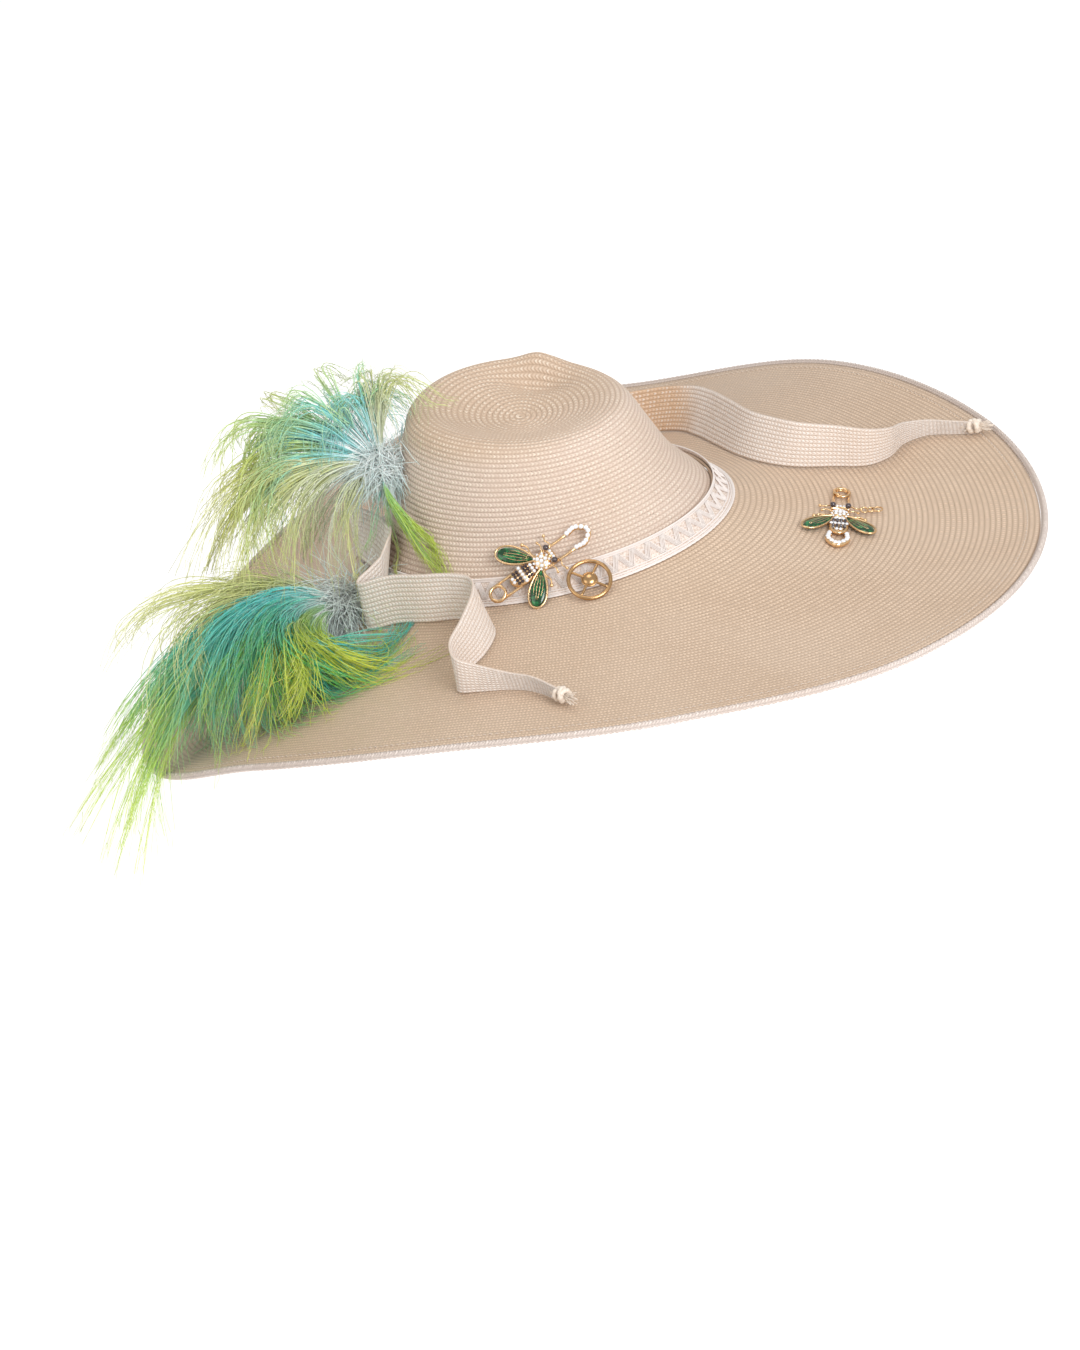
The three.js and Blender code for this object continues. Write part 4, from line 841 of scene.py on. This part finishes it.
def clear_of_hat(points, gap):
    """Takes points inside the crown out to its wall or up to its tip, whichever is nearer, and lifts
    points onto the brim plus a gap. Near the rim, where barbs hang over it, points more than 75 mm down
    stay, and points 50 mm down come up in full."""
    x, y, z = np.moveaxis(points, -1, 0)
    angle = np.arctan2(y, x)
    out = np.hypot(x, y)
    spread = np.interp(np.clip(z / CROWN_HEIGHT, 0, 1), WALL_ROWS[:, 0], WALL_ROWS[:, 1])
    inside = np.maximum(head_radius(angle) * spread + CLOTH + gap - out, 0)
    below = np.maximum(CROWN_HEIGHT + TIP_TILT + gap - z, 0)
    wider = 1 + np.where(inside < below, inside, 0) / np.maximum(out, 1e-6)
    z = z + np.where((inside > 0) & (inside >= below), below, 0)
    x, y, out = x * wider, y * wider, out * wider
    rim = head_radius(angle) + FLARE_REACH + BRIM_WIDTH * read_around(BRIM_REACH, angle)
    depth = np.maximum(brim_height(x, y) + gap - z, 0)
    share = np.maximum(np.clip(3 - depth / 25, 0, 1), np.clip((rim - out - 10) / 20, 0, 1))
    z = z + np.where((out < rim) & (out > head_radius(angle)), depth * share, 0)
    return np.stack([x, y, z], axis=-1)


def lock_curve(root, tip, arch, sway, share):
    """The quill of a lock: (1 - s)^2 root + 2 s (1 - s) bend + s^2 tip, where the bend is the middle of
    the way, raised by the arch and swung to the left by the sway."""
    way = tip - root
    left = np.cross(UP, way)
    left /= np.linalg.norm(left)
    bend = root + 0.5 * way + UP * arch + left * sway
    s = share[..., None]
    return (1 - s) ** 2 * root + 2 * s * (1 - s) * bend + s**2 * tip


def barbs(rng, root, tips, table, scale, spread, droop, thick):
    """Barbs of a plume, in wisps of about nine. A wisp leaves its quill near the root, moves off it by
    spread * (0.08 s + 0.92 s^1.8) and hangs by droop * t^2.2. Past HOOK_START it bends along an arc, so
    that length times (sin a - a) is added ahead and length times (1 - cos a) aside, over the angle. Barbs
    of a wisp part in its middle and meet at its tip. Returns paths, radii and a colour for each station."""
    paths, colours = [], []
    t = np.linspace(0, 1, BARB_STATIONS)[None]
    knee = [int(HOOK_START * BARB_STATIONS)]
    for tip, (_, _, _, arch, sway, girth, count, dye, curl) in zip(tips, table):
        count, wisps = int(count), max(int(count) // WISP_SIZE, 3)
        wisp = rng.integers(0, wisps, count)

        def shared(values):
            """One value for each wisp, given to its barbs as a column."""
            return values[wisp][:, None]

        def own():
            """A random value from 0 to 1 for each barb, as a column."""
            return rng.random((count, 1))

        start = np.clip(shared(0.45 * rng.random(wisps) ** 1.5) + 0.03 * own(), 0, 1)
        reach = shared(0.55 + 0.5 * rng.beta(2.2, 1.2, wisps)) - 0.14 * own() ** 2
        reach = np.maximum(reach, start + 0.2)
        share = start + (reach - start) * t
        line = lock_curve(root, tip, arch * scale, sway * scale, share)
        length = np.linalg.norm(np.diff(line, axis=1), axis=-1).sum(1)[:, None]
        ahead = np.gradient(line, axis=1)
        ahead /= np.linalg.norm(ahead, axis=-1, keepdims=True)
        side = np.cross(ahead, UP)
        side /= np.linalg.norm(side, axis=-1, keepdims=True)
        over = np.cross(side, ahead)
        turn = shared(2 * np.pi * rng.random(wisps)) + 0.2 * rng.normal(size=(count, 1))
        size = girth * spread * shared(rng.random(wisps) ** 0.6) * (0.9 + 0.2 * own())
        off = size * (0.08 * share + 0.92 * share**1.8)
        line = line + side * (np.cos(turn) * off * 1.25)[..., None] + over * (np.sin(turn) * off * 0.85)[..., None]
        swell = girth * 2.0 * np.sin(np.pi * np.clip(t * 1.04, 0, 1)) ** 0.7
        part = rng.normal(size=(count, 1, 3)) * swell[..., None]
        bend = curl * shared(0.35 + 1.1 * rng.random(wisps)) * (0.8 + 0.4 * own())
        turned = bend * np.clip((t - HOOK_START) / (1 - HOOK_START), 0, 1)
        round_of = length * (1 - HOOK_START) / bend
        aside = np.cos(turn)[..., None] * side * 0.75 - UP * 0.7 + np.sin(turn)[..., None] * over * 0.35
        aside /= np.linalg.norm(aside, axis=-1, keepdims=True)
        hook = (round_of * (np.sin(turned) - turned))[..., None] * ahead[:, knee]
        hook = hook + (round_of * (1 - np.cos(turned)))[..., None] * aside[:, knee]
        tremble = rng.normal(size=(count, 1, 3))
        wave = tremble * (1.5 * t * np.sin(t * (4 + 5 * own()) + turn))[..., None]
        hang = droop * (0.2 + 1.1 * shared(rng.random(wisps))) * t**2.2 * (reach - start)
        line = line + part + hook + wave - UP * hang[..., None]
        line = clear_of_hat(line, 0.5 + 1.5 * own())
        away = np.linalg.norm(line - root, axis=-1)
        away = away + shared(14 * rng.normal(size=wisps)) + 5 * rng.normal(size=(count, 1))
        colours.append(np.clip(dyed(away, dye) * (0.8 + 0.36 * rng.random((count, 1, 1))), 0, 0.95))
        paths.append(line)
    paths, colours = np.concatenate(paths), np.concatenate(colours)
    radii = thick * (1 - 0.7 * t) * (0.7 + 0.6 * rng.random((len(paths), 1)))
    return paths, radii, colours


def barbules(rng, paths, colours, count=BARBULE_COUNT, length=6.5, thick=0.14):
    """Fine hairs on the barbs: each starts at a random station, leaves its barb at a narrow angle and
    bends towards the ground."""
    which = rng.integers(0, len(paths), count)
    station = rng.integers(paths.shape[1] // 3, paths.shape[1], count)
    base = paths[which, station]
    ahead = paths[which, station] - paths[which, station - 1]
    ahead /= np.linalg.norm(ahead, axis=1, keepdims=True) + 1e-9
    side = np.cross(ahead, rng.normal(size=(count, 3)))
    side /= np.linalg.norm(side, axis=1, keepdims=True) + 1e-9
    reach = length * (0.4 + rng.random((count, 1, 1)))
    s = np.linspace(0, 1, 3)[None, :, None]
    way = ahead[:, None] * (0.85 * s) + side[:, None] * (0.45 * s**0.8) - UP * (0.3 * s**2)
    line = clear_of_hat(base[:, None] + reach * way, 0.5)
    colour = colours[which, station][:, None] * (0.9 + 0.3 * rng.random((count, 1, 1)))
    return line, thick * (1 - 0.6 * s[..., 0]), np.repeat(colour, 3, axis=1)


FEATHER, feather_tree, feather_shader = finish("dyed_feather", roughness=0.55, Sheen_Weight=0.3)
dye_node = feather_tree.nodes.new("ShaderNodeVertexColor")
dye_node.layer_name = "dye"
fleck = noise(feather_tree, object_place(feather_tree), 700.0)
pale_share = calc(feather_tree, "MULTIPLY", ramp(feather_tree, fleck, 0.45, 0.75), 0.3)
feather_tone = blend_colour(feather_tree, pale_share, dye_node.outputs["Color"], (0.86, 0.90, 0.74))
feather_tree.links.new(feather_tone, feather_shader.inputs["Base Color"])


def hairs(name, paths, radii, colours, slot, stands_for=()):
    """A piece of three-sided tapering tubes, with the colour of its own station at every point."""
    dye = np.repeat(colours.reshape(-1, 3), 3, axis=0)
    piece(name, *tubes(paths, radii, 3), FEATHER, slot, stands_for, dye=dye)


def plume(name, root, tips, table, scale, seed, spread, droop, thick, fluff):
    """One plume: barbs, the down at its root and the barbules, as three pieces. The down goes the ways of
    the locks, each turned at random, and curls a little at its ends."""
    rng = np.random.default_rng(seed)
    paths, radii, colours = barbs(rng, root, tips, table, scale, spread, droop, thick)
    hairs(f"{name}_barbs", paths, radii, colours, name, [name])
    ways = (tips - root)[rng.integers(0, len(tips), DOWN_COUNT)]
    ways /= np.linalg.norm(ways, axis=1, keepdims=True)
    ways += rng.normal(size=ways.shape) * 0.6
    ways /= np.linalg.norm(ways, axis=1, keepdims=True)
    s = np.linspace(0, 1, DOWN_STATIONS)[None, :, None]
    reach = fluff * (0.4 + rng.random((DOWN_COUNT, 1, 1)))
    base = root + rng.normal(size=(DOWN_COUNT, 1, 3)) * 5
    curl = rng.normal(size=(DOWN_COUNT, 1, 3)) * 3 * s**2
    down = clear_of_hat(base + ways[:, None] * reach * s + curl - UP * 5 * s**2, 0.6)
    away = np.linalg.norm(down - root, axis=-1) + 6 * rng.normal(size=(DOWN_COUNT, 1))
    hairs(f"{name}_down", down, 0.34 * (1 - 0.6 * s[..., 0]), dyed(away * 0.35, table[1, 7]), name)
    hairs(f"{name}_barbules", *barbules(rng, paths, colours), name)


# name, root, tips, locks, scale, seed, spread, droop, thickness, reach of the down
low_root = brim_point(np.radians(119), 0.12) + UP * (LOCK_RADIUS + 2 * CLEARANCE)
low_tips = brim_point(np.radians(LOW_LOCKS[:, 0]), LOW_LOCKS[:, 1]) + UP * (LOW_LOCKS[:, 2:3] * LOW_LOFT)
plume("low_plume", low_root, low_tips, LOW_LOCKS, LOW_LOFT, 7, 30.0, 8.0, 0.36, 34.0)

stem_out = np.array([np.cos(STEM_TURN), np.sin(STEM_TURN), 0])
stem_foot = wall_point(STEM_RISE, STEM_TURN) + (STEM_RADIUS + 1.5 * CLEARANCE) * stem_out
high_root = stem_foot + UP * STEM_LENGTH
high_turn = np.radians(HIGH_LOCKS[:, 0])
high_out = head_radius(high_turn) + HIGH_LOCKS[:, 1] * HIGH_LENGTH
high_tips = np.stack([high_out * np.cos(high_turn), high_out * np.sin(high_turn),
                      high_root[2] + HIGH_LOCKS[:, 2] * HIGH_LENGTH], -1)
plume("high_plume", high_root, high_tips, HIGH_LOCKS, HIGH_LENGTH, 11, 28.0, 20.0, 0.4, 17.0)
QUILL = mottled("quill", (0.70, 0.72, 0.58), (0.50, 0.60, 0.48), 260.0, 0.4)
stem_share = np.linspace(0, 1, 12)
stem_path = stem_foot + (high_root - stem_foot) * stem_share[:, None]
piece("high_plume_stem", *tubes(stem_path[None], 1.9 - 0.5 * stem_share[None], 10), QUILL, "high_plume")

# %% [markdown]
# ## Pins
# The bee pins are cast in gold tone: an open safety-pin frame with a coil at one end and a hood at the
# other, and on it a bee whose back, tail and hood are set with stones and whose wings are green enamel.
# Each is made flat in its own plane, in millimetres, and then turned onto the hat by a matrix worked out
# from the same places as its rest.

# %% Places and shapes of the pins
GOLD = mottled("gold_tone", (0.93, 0.70, 0.44), (0.78, 0.50, 0.24), 300.0, 0.22, 1.0, grain=(1600.0, 0.08, 0.4))
BROWN_GOLD = mottled("brown_gold", (0.66, 0.43, 0.22), (0.46, 0.27, 0.12), 300.0, 0.24, 1.0)
ENAMEL = mottled("green_enamel", (0.001, 0.045, 0.012), (0.015, 0.22, 0.06), 420.0, 0.16, edges=(0.45, 0.72),
                 detail=4.0, Coat_Weight=0.4, Coat_Roughness=0.04)
CLEAR = mottled("clear_stone", (0.98, 0.98, 1.0), (0.72, 0.75, 0.80), 900.0, 0.05, Specular_IOR_Level=1.0,
                Coat_Weight=0.5)
DARK = mottled("dark_stone", (0.012, 0.008, 0.01), (0.06, 0.03, 0.04), 800.0, 0.06, Specular_IOR_Level=0.9,
               Coat_Weight=0.6)

PIN_HALF, PIN_GAP, WIRE, COIL = 30.0, 5.0, 0.9, 4.5
WING_LENGTH, WING_WIDTH, WING_SWEEP, THORAX, TAIL_LONG, TAIL_WIDE = 24.0, 10.0, 133.0, 5.4, 17.0, 11.5


def pin_place(middle, out, heading):
    """The turn and place of a pin's plane: level is up crossed with the way it faces, and its length is
    level * cos(heading) + uphill * sin(heading)."""
    level = np.cross(UP, out)
    level /= np.linalg.norm(level)
    uphill = np.cross(out, level)
    ahead = level * np.cos(np.radians(heading)) + uphill * np.sin(np.radians(heading))
    return np.stack([ahead, np.cross(out, ahead), out], axis=1), middle


def leaning_place(degrees, out_share, rise, along, stand, heading):
    """A pin that leans across the flare, from a place on the brim to one on the crown."""
    angle = np.radians(degrees)
    low, high = brim_point(angle, out_share), wall_point(rise, angle)
    up = (high - low) / np.linalg.norm(high - low)
    out = np.cross([-np.sin(angle), np.cos(angle), 0], up)
    out /= np.linalg.norm(out)
    return pin_place(low + (high - low) * along + out * stand, out, heading)


def lying_place(degrees, out_share, stand, heading):
    """A pin that lies on the brim, facing along the brim's own normal."""
    angle = np.radians(degrees)
    reach = brim_point(angle, out_share + 0.05) - brim_point(angle, out_share - 0.05)
    around = brim_point(angle + 0.05, out_share) - brim_point(angle - 0.05, out_share)
    out = np.cross(reach, around)
    out /= np.linalg.norm(out)
    return pin_place(brim_point(angle, out_share) + out * stand, out, heading)


def cut_stone():
    """A round cut stone of radius 1: an eight-sided table, a girdle turned by half a side and a small
    lower ring, joined by triangles."""
    turn = ring(8)
    points = np.concatenate([np.stack([r * np.cos(turn + a), r * np.sin(turn + a), z + 0 * turn], -1)
                             for r, z, a in ((0.58, 0.5, 0), (1.0, 0.0, np.pi / 8), (0.55, -0.5, 0))])
    j = np.arange(8)
    k = (j + 1) % 8
    sides = ([j, 8 + j, k], [k, 8 + j, 8 + k], [8 + j, 16 + j, 16 + k], [8 + j, 16 + k, 8 + k])
    return points, [np.concatenate([*(np.stack(side, -1) for side in sides), fan(8), 16 + fan(8)[:, [0, 2, 1]]])]


def set_stones(places, radii):
    """Cut stones at (x, y, z) places, each with its own radius and a turn of its own."""
    places, radii = np.asarray(places, dtype=float), np.asarray(radii, dtype=float)
    spin = 1.7 * np.arange(len(places))
    zero, one = 0 * spin, 0 * spin + 1
    rows = ((np.cos(spin), -np.sin(spin), zero), (np.sin(spin), np.cos(spin), zero), (zero, zero, one))
    turns = np.stack([np.stack(row, -1) for row in rows], 1) * radii[:, None, None]
    return copies(*cut_stone(), turns, places)


def ball(centre, radius, squash=1.0, rows=9, columns=14):
    """A round bead: rings of a half circle from pole to pole, the poles kept as tiny rings."""
    tall = np.linspace(0.02, np.pi - 0.02, rows)
    turn = ring(columns)
    points = np.stack([np.sin(tall)[:, None] * np.cos(turn), np.sin(tall)[:, None] * np.sin(turn),
                       squash * np.cos(tall)[:, None] + 0 * turn], -1) * radius + np.asarray(centre)
    poles = np.concatenate([fan(columns), fan(columns)[:, ::-1] + (rows - 1) * columns])
    return points.reshape(-1, 3), [grid_quads(rows, columns, True), poles]


def through(corners, count=24):
    """A smooth path through a few corners."""
    return smooth_read(np.array(corners, dtype=float), np.linspace(0, 1, count))[None]


def hood_bend(height, count):
    """The path round the pin's hood at a height over its plane."""
    sides = [(PIN_HALF - 8, PIN_GAP), (PIN_HALF - 2, PIN_GAP + 0.4), (PIN_HALF + 3.2, 0),
             (PIN_HALF - 2, -PIN_GAP - 0.4), (PIN_HALF - 8, -PIN_GAP)]
    return through([(x, y, height) for x, y in sides], count)


def wing_outline(length, width, count=44):
    """A wing pointed at its root: x = length / 2 * (1 - cos), y = width * 0.66 * sin * sin(half)^0.8."""
    turn = ring(count)
    across = width * 0.66 * np.sin(turn) * np.abs(np.sin(turn / 2)) ** 0.8
    return np.stack([length / 2 * (1 - np.cos(turn)), across], -1)


def turn_wing(points, side):
    """Turns a wing to its side of the bee, 1 left and -1 right, and moves it to the back."""
    sweep = side * np.radians(WING_SWEEP)
    x, y, z = np.moveaxis(np.asarray(points, dtype=float).reshape(-1, 3), -1, 0)
    along = x * np.cos(sweep) - y * np.sin(sweep) - 1
    across = x * np.sin(sweep) + y * np.cos(sweep) + side * THORAX * 0.55
    return np.stack([along, across, z], -1)


def wing_enamel(side):
    """Enamel that fills the rim: rings shrink from the outline to a middle point and rise by a low dome."""
    outline = wing_outline(WING_LENGTH - 2.6, WING_WIDTH - 1.6) + [1.6, 0]
    middle = np.array([WING_LENGTH * 0.56, 0.0])
    shrink = np.array([0.04, 0.25, 0.5, 0.72, 0.88, 0.97, 1.0])[:, None, None]
    flat = middle + (outline[None] - middle) * shrink
    height = 1.15 + 1.15 * np.sqrt(np.maximum(0, 1 - shrink[..., 0] ** 2)) + 0 * flat[..., 0]
    top = np.concatenate([flat, height[..., None]], -1)
    low = top[-1] * [1, 1, 0] + [0, 0, 0.6]
    centre = np.array([[*middle, 2.3], [*middle, 0.6]])
    points = np.concatenate([top.reshape(-1, 3), low, centre])
    n, low_row = len(outline), len(shrink) * len(outline)
    j = np.arange(n)
    k = (j + 1) % n
    quads = grid_quads(len(shrink) + 1, n, True)
    fans = np.concatenate([np.stack([j, k, 0 * j + low_row + n], -1),
                           np.stack([low_row + k, low_row + j, 0 * j + low_row + n + 1], -1)])
    return turn_wing(points, side), [quads[:, ::-1], fans[:, ::-1]]


def wing_gold(side):
    """The rim as a tube on the outline, and veins that fan from the root over the enamel."""
    outline = wing_outline(WING_LENGTH, WING_WIDTH)
    rim = np.column_stack([outline, np.full(len(outline), 1.5)])
    parts = [tubes(turn_wing(rim, side)[None], 0.62, 8, closed=True)]
    s = np.linspace(0.12, 0.9, 12)
    for lean in (-0.55, -0.2, 0.15, 0.5):
        width = WING_WIDTH * 0.5 * np.sin(np.pi * s ** 1.1) ** 0.7
        dome = 2.28 - 1.0 * (lean ** 2) - 0.9 * (2 * s - 1.05) ** 4
        vein = np.column_stack([2.2 + s * (WING_LENGTH - 5), lean * width, dome])
        parts.append(tubes(turn_wing(vein, side)[None], 0.17, 5))
    return parts


def bee_gold(hood, chain):
    """The gold of a bee pin: two wires, a coil of two turns, the hood, the body's cups, the head, legs
    and feelers that end in beads, prongs between the stones, and the rims and veins of the wings."""
    turn = np.linspace(0, 2 * np.pi * 1.75, 60)
    coil = np.stack([-PIN_HALF + COIL * np.cos(turn + 1.2), COIL * np.sin(turn + 1.2),
                     -0.9 + 1.8 * turn / turn[-1]], -1)
    wires = np.stack([np.linspace([-PIN_HALF, side * COIL, 0], [PIN_HALF - 4, side * PIN_GAP, 0], 8)
                      for side in (-1, 1)])
    parts = [tubes(path * [hood, hood, 1], radius, 10)
             for path, radius in ((coil[None], WIRE), (wires, 0.8), (hood_bend(0, 30), 1.65))]
    cup = ball((1, 0, 0.4), THORAX, 0.45, 9, 22)
    tail = ball((0, 0, 0.4), TAIL_WIDE / 2, 0.42, 9, 26)
    tail = (tail[0] * [TAIL_LONG / TAIL_WIDE, 1, 1] + [-TAIL_LONG * 0.73, 0, 0], tail[1])
    parts += [cup, tail, tubes(through([(2, 0, 0.8), (7.5, 0, 0.9)], 6), 1.6, 10),
              tubes(through([(7.3, -5.4, 1.4), (8.2, 0, 1.2), (7.3, 5.4, 1.4)], 14), 1.7, 10)]
    for side in (-1, 1):
        leg = through([(0, side * 3, 1), (-1.5, side * 8, 1.6), (-0.8, side * 12, 1.2), (-2.5, side * 15, 1)])
        middle_leg = through([(3, side * 3, 1), (5.5, side * 7.5, 1.6), (5, side * 10.5, 1.2)])
        feeler = through([(7.5, side * 3, 1.5), (10.5, side * 5.5, 1.8), (9.4, side * 9, 1.5),
                          (10.5, side * 11.8, 1)])
        parts += [tubes(leg, 0.55, 8), tubes(middle_leg, 0.45, 8), tubes(feeler, 0.45, 8)]
        parts += [ball((-2.5, side * 15, 1), 1.15), ball((5, side * 10.7, 1.2), 0.85),
                  ball((10.5, side * 12, 1), 1.0)]
        parts += wing_gold(side)
    prongs = []
    for x, count in ((-4.8, 3), (-9.9, 4), (-14.5, 4), (-18.3, 3)):
        prongs += [(x, y, 2.6) for y in (np.arange(count) - (count - 1) / 2) * 2.4]
    prongs += [(1 + 4.3 * np.cos(a), 4.3 * np.sin(a), 2.1) for a in np.arange(6) * np.pi / 3 + 0.5]
    parts += [ball(p, 0.42, 1.0, 5, 8) for p in prongs]
    link_turn = ring(20)
    for i in range(3 * chain):
        size = 2.9 if i == 2 else 2.0
        link = np.stack([10 + 1.2 * i + size * np.cos(link_turn), -14 - 3.8 * i + size * np.sin(link_turn),
                         1 + 0.5 * np.cos(link_turn + i)], -1)
        parts.append(tubes(link[None], 0.5, 8, closed=True))
    return gather(parts)


def stone_places(hood):
    """Places and radii of the clear and the dark stones: a close ring on the back, rows across the tail
    that take turns, a line between the eyes and a line round the hood."""
    back = [(1, 0, 3.1, 1.25)] + [(1 + 2.7 * np.cos(a), 2.7 * np.sin(a), 2.75, 1.2) for a in np.arange(6) * np.pi / 3]
    back += [(1 + 4.6 * np.cos(a), 4.6 * np.sin(a), 1.9, 0.85) for a in (np.arange(10) + 0.5) * np.pi / 5]
    face = [(8.2, y, 3.0, 0.95) for y in (-2.0, 0.0, 2.0)]
    hooded = [(hood * x, hood * y, z, 1.5) for x, y, z in hood_bend(1.7, 12)[0]]
    # place along, stones and whether they are dark
    rows = [(-5.6, 3, 0), (-7.8, 4, 1), (-9.9, 4, 1), (-12.2, 5, 0), (-14.4, 4, 1), (-16.6, 4, 1), (-18.6, 2, 0)]
    tail = [(x, (i - (n - 1) / 2) * 2.25, 2.85 - 0.05 * abs(x + 12.4), 1.1, dark)
            for x, n, dark in rows for i in range(n)]
    clear = back + face + hooded + [t[:4] for t in tail if not t[4]]
    return np.array(clear), np.array([t[:4] for t in tail if t[4]])


def on_hat(place, points):
    """Points of a pin's plane, turned and moved to its place on the hat."""
    turn, middle = place
    return np.asarray(points).reshape(-1, 3) @ turn.T + middle


def bee(name, place, hood, chain):
    """All pieces of one bee pin, each standing for its own solids."""

    def made(ending, shape, material, slot, stands_for, flat=False):
        """One piece of the pin, put in its place on the hat."""
        points, faces = shape
        nodes = [f"{name}_{node}" for node in stands_for]
        piece(f"{name}_{ending}", on_hat(place, points), faces, material, slot, nodes, flat=flat)

    made("gold", bee_gold(hood, chain), GOLD, "gold", ["casting"])
    for side, word in ((1, "left"), (-1, "right")):
        made(f"{word}_enamel", wing_enamel(side), ENAMEL, "enamel", [f"{word}_wing"])
        made(f"{word}_bead", ball((7.5, side * 4.5, 4.0), 1.75, 1.0, 12, 18), DARK, "dark_stone", [f"{word}_eye"])
    clear, dark = stone_places(hood)
    made("clear_stones", set_stones(clear[:, :3], clear[:, 3]), CLEAR, "clear_stone",
         ["back_stones", "hood_stones"], flat=True)
    made("dark_stones", set_stones(dark[:, :3], dark[:, 3]), DARK, "dark_stone", ["tail_stones"], flat=True)


bee("bee_side", leaning_place(194.4, 0.02, 0.42, 0.49, 3, 24), 1, 0)
bee("bee_front", lying_place(272.6, 0.343, 2, 9), -1, 1)

RING_RADIUS, BOSS_RADIUS = 12.0, 4.3
hoop = RING_RADIUS * np.stack([np.cos(ring(64)), np.sin(ring(64)), 0 * ring(64)], -1)
spoke_ways = [np.array([np.cos(a), np.sin(a), 0]) for a in (np.arange(4) + 0.5) * np.pi / 2]
spokes = np.array([np.linspace(RING_RADIUS * way, 3 * way + [0, 0, 0.4], 6) for way in spoke_ways])
ring_points, ring_faces = gather([
    tubes(hoop[None], 1.15, 12, closed=True), tubes(spokes, 0.8, 10),
    ball((0, 0, 0.3), BOSS_RADIUS, 0.5, 14, 30), tubes(hoop[None] * 0.36 + [0, 0, 0.4], 0.5, 8, closed=True)])
ring_place = leaning_place(209, 0.06, 0.28, 0.26, 2.8, 0)
piece("ring_pin_gold", on_hat(ring_place, ring_points), ring_faces, BROWN_GOLD, "gold", ["ring_pin"])

# %% [markdown]
# ## Floor and light
# The picture is a bright studio cut-out, so the floor is a plain pale sheet and the light is soft: a
# bright even world, one big soft lamp before the hat, a weaker warm one behind it and one above.

# %% The stage
FLOOR_DROP, FLOOR_HALF = 0.22, 8
floor_material = mottled("pale_floor", (0.94, 0.94, 0.94), (0.92, 0.92, 0.925), 1.5, 0.7,
                         Emission_Color=(1, 1, 1, 1), Emission_Strength=0.42)
floor_mesh = bpy.data.meshes.new("floor")
floor_z = cad_box[0][2] - FLOOR_DROP
corners = [(x * FLOOR_HALF, y * FLOOR_HALF, floor_z) for x, y in ((-1, -1), (1, -1), (1, 1), (-1, 1))]
floor_mesh.from_pydata(corners, [], [(0, 1, 2, 3)])
floor_mesh.materials.append(floor_material)
floor = bpy.data.objects.new("floor", floor_mesh)
bpy.context.collection.objects.link(floor)

world = bpy.data.worlds.new("studio")
world.use_nodes = True
world.node_tree.nodes["Background"].inputs["Color"].default_value = (1.0, 0.99, 0.98, 1)
world.node_tree.nodes["Background"].inputs["Strength"].default_value = 0.60
bpy.context.scene.world = world


def soft_lamp(name, place, size, power, colour):
    """A square area lamp at a place in metres, turned to face the hat."""
    data = bpy.data.lights.new(name, "AREA")
    data.size, data.energy, data.color = size, power, colour
    lamp = bpy.data.objects.new(name, data)
    bpy.context.collection.objects.link(lamp)
    lamp.location = place
    lamp.rotation_euler = (-Vector(place)).to_track_quat("-Z", "Y").to_euler()


soft_lamp("key_lamp", (-1.5, -1.6, 1.1), 1.1, 37, (0.98, 0.985, 1.0))
soft_lamp("fill_lamp", (-1.7, 1.0, 1.4), 1.4, 9, (1.0, 0.96, 0.9))
soft_lamp("top_lamp", (0.4, -0.3, 2.4), 1.0, 8, (1.0, 0.92, 0.82))
bpy.context.scene.view_settings.view_transform = "Standard"
print("floor at", round(floor_z, 3))
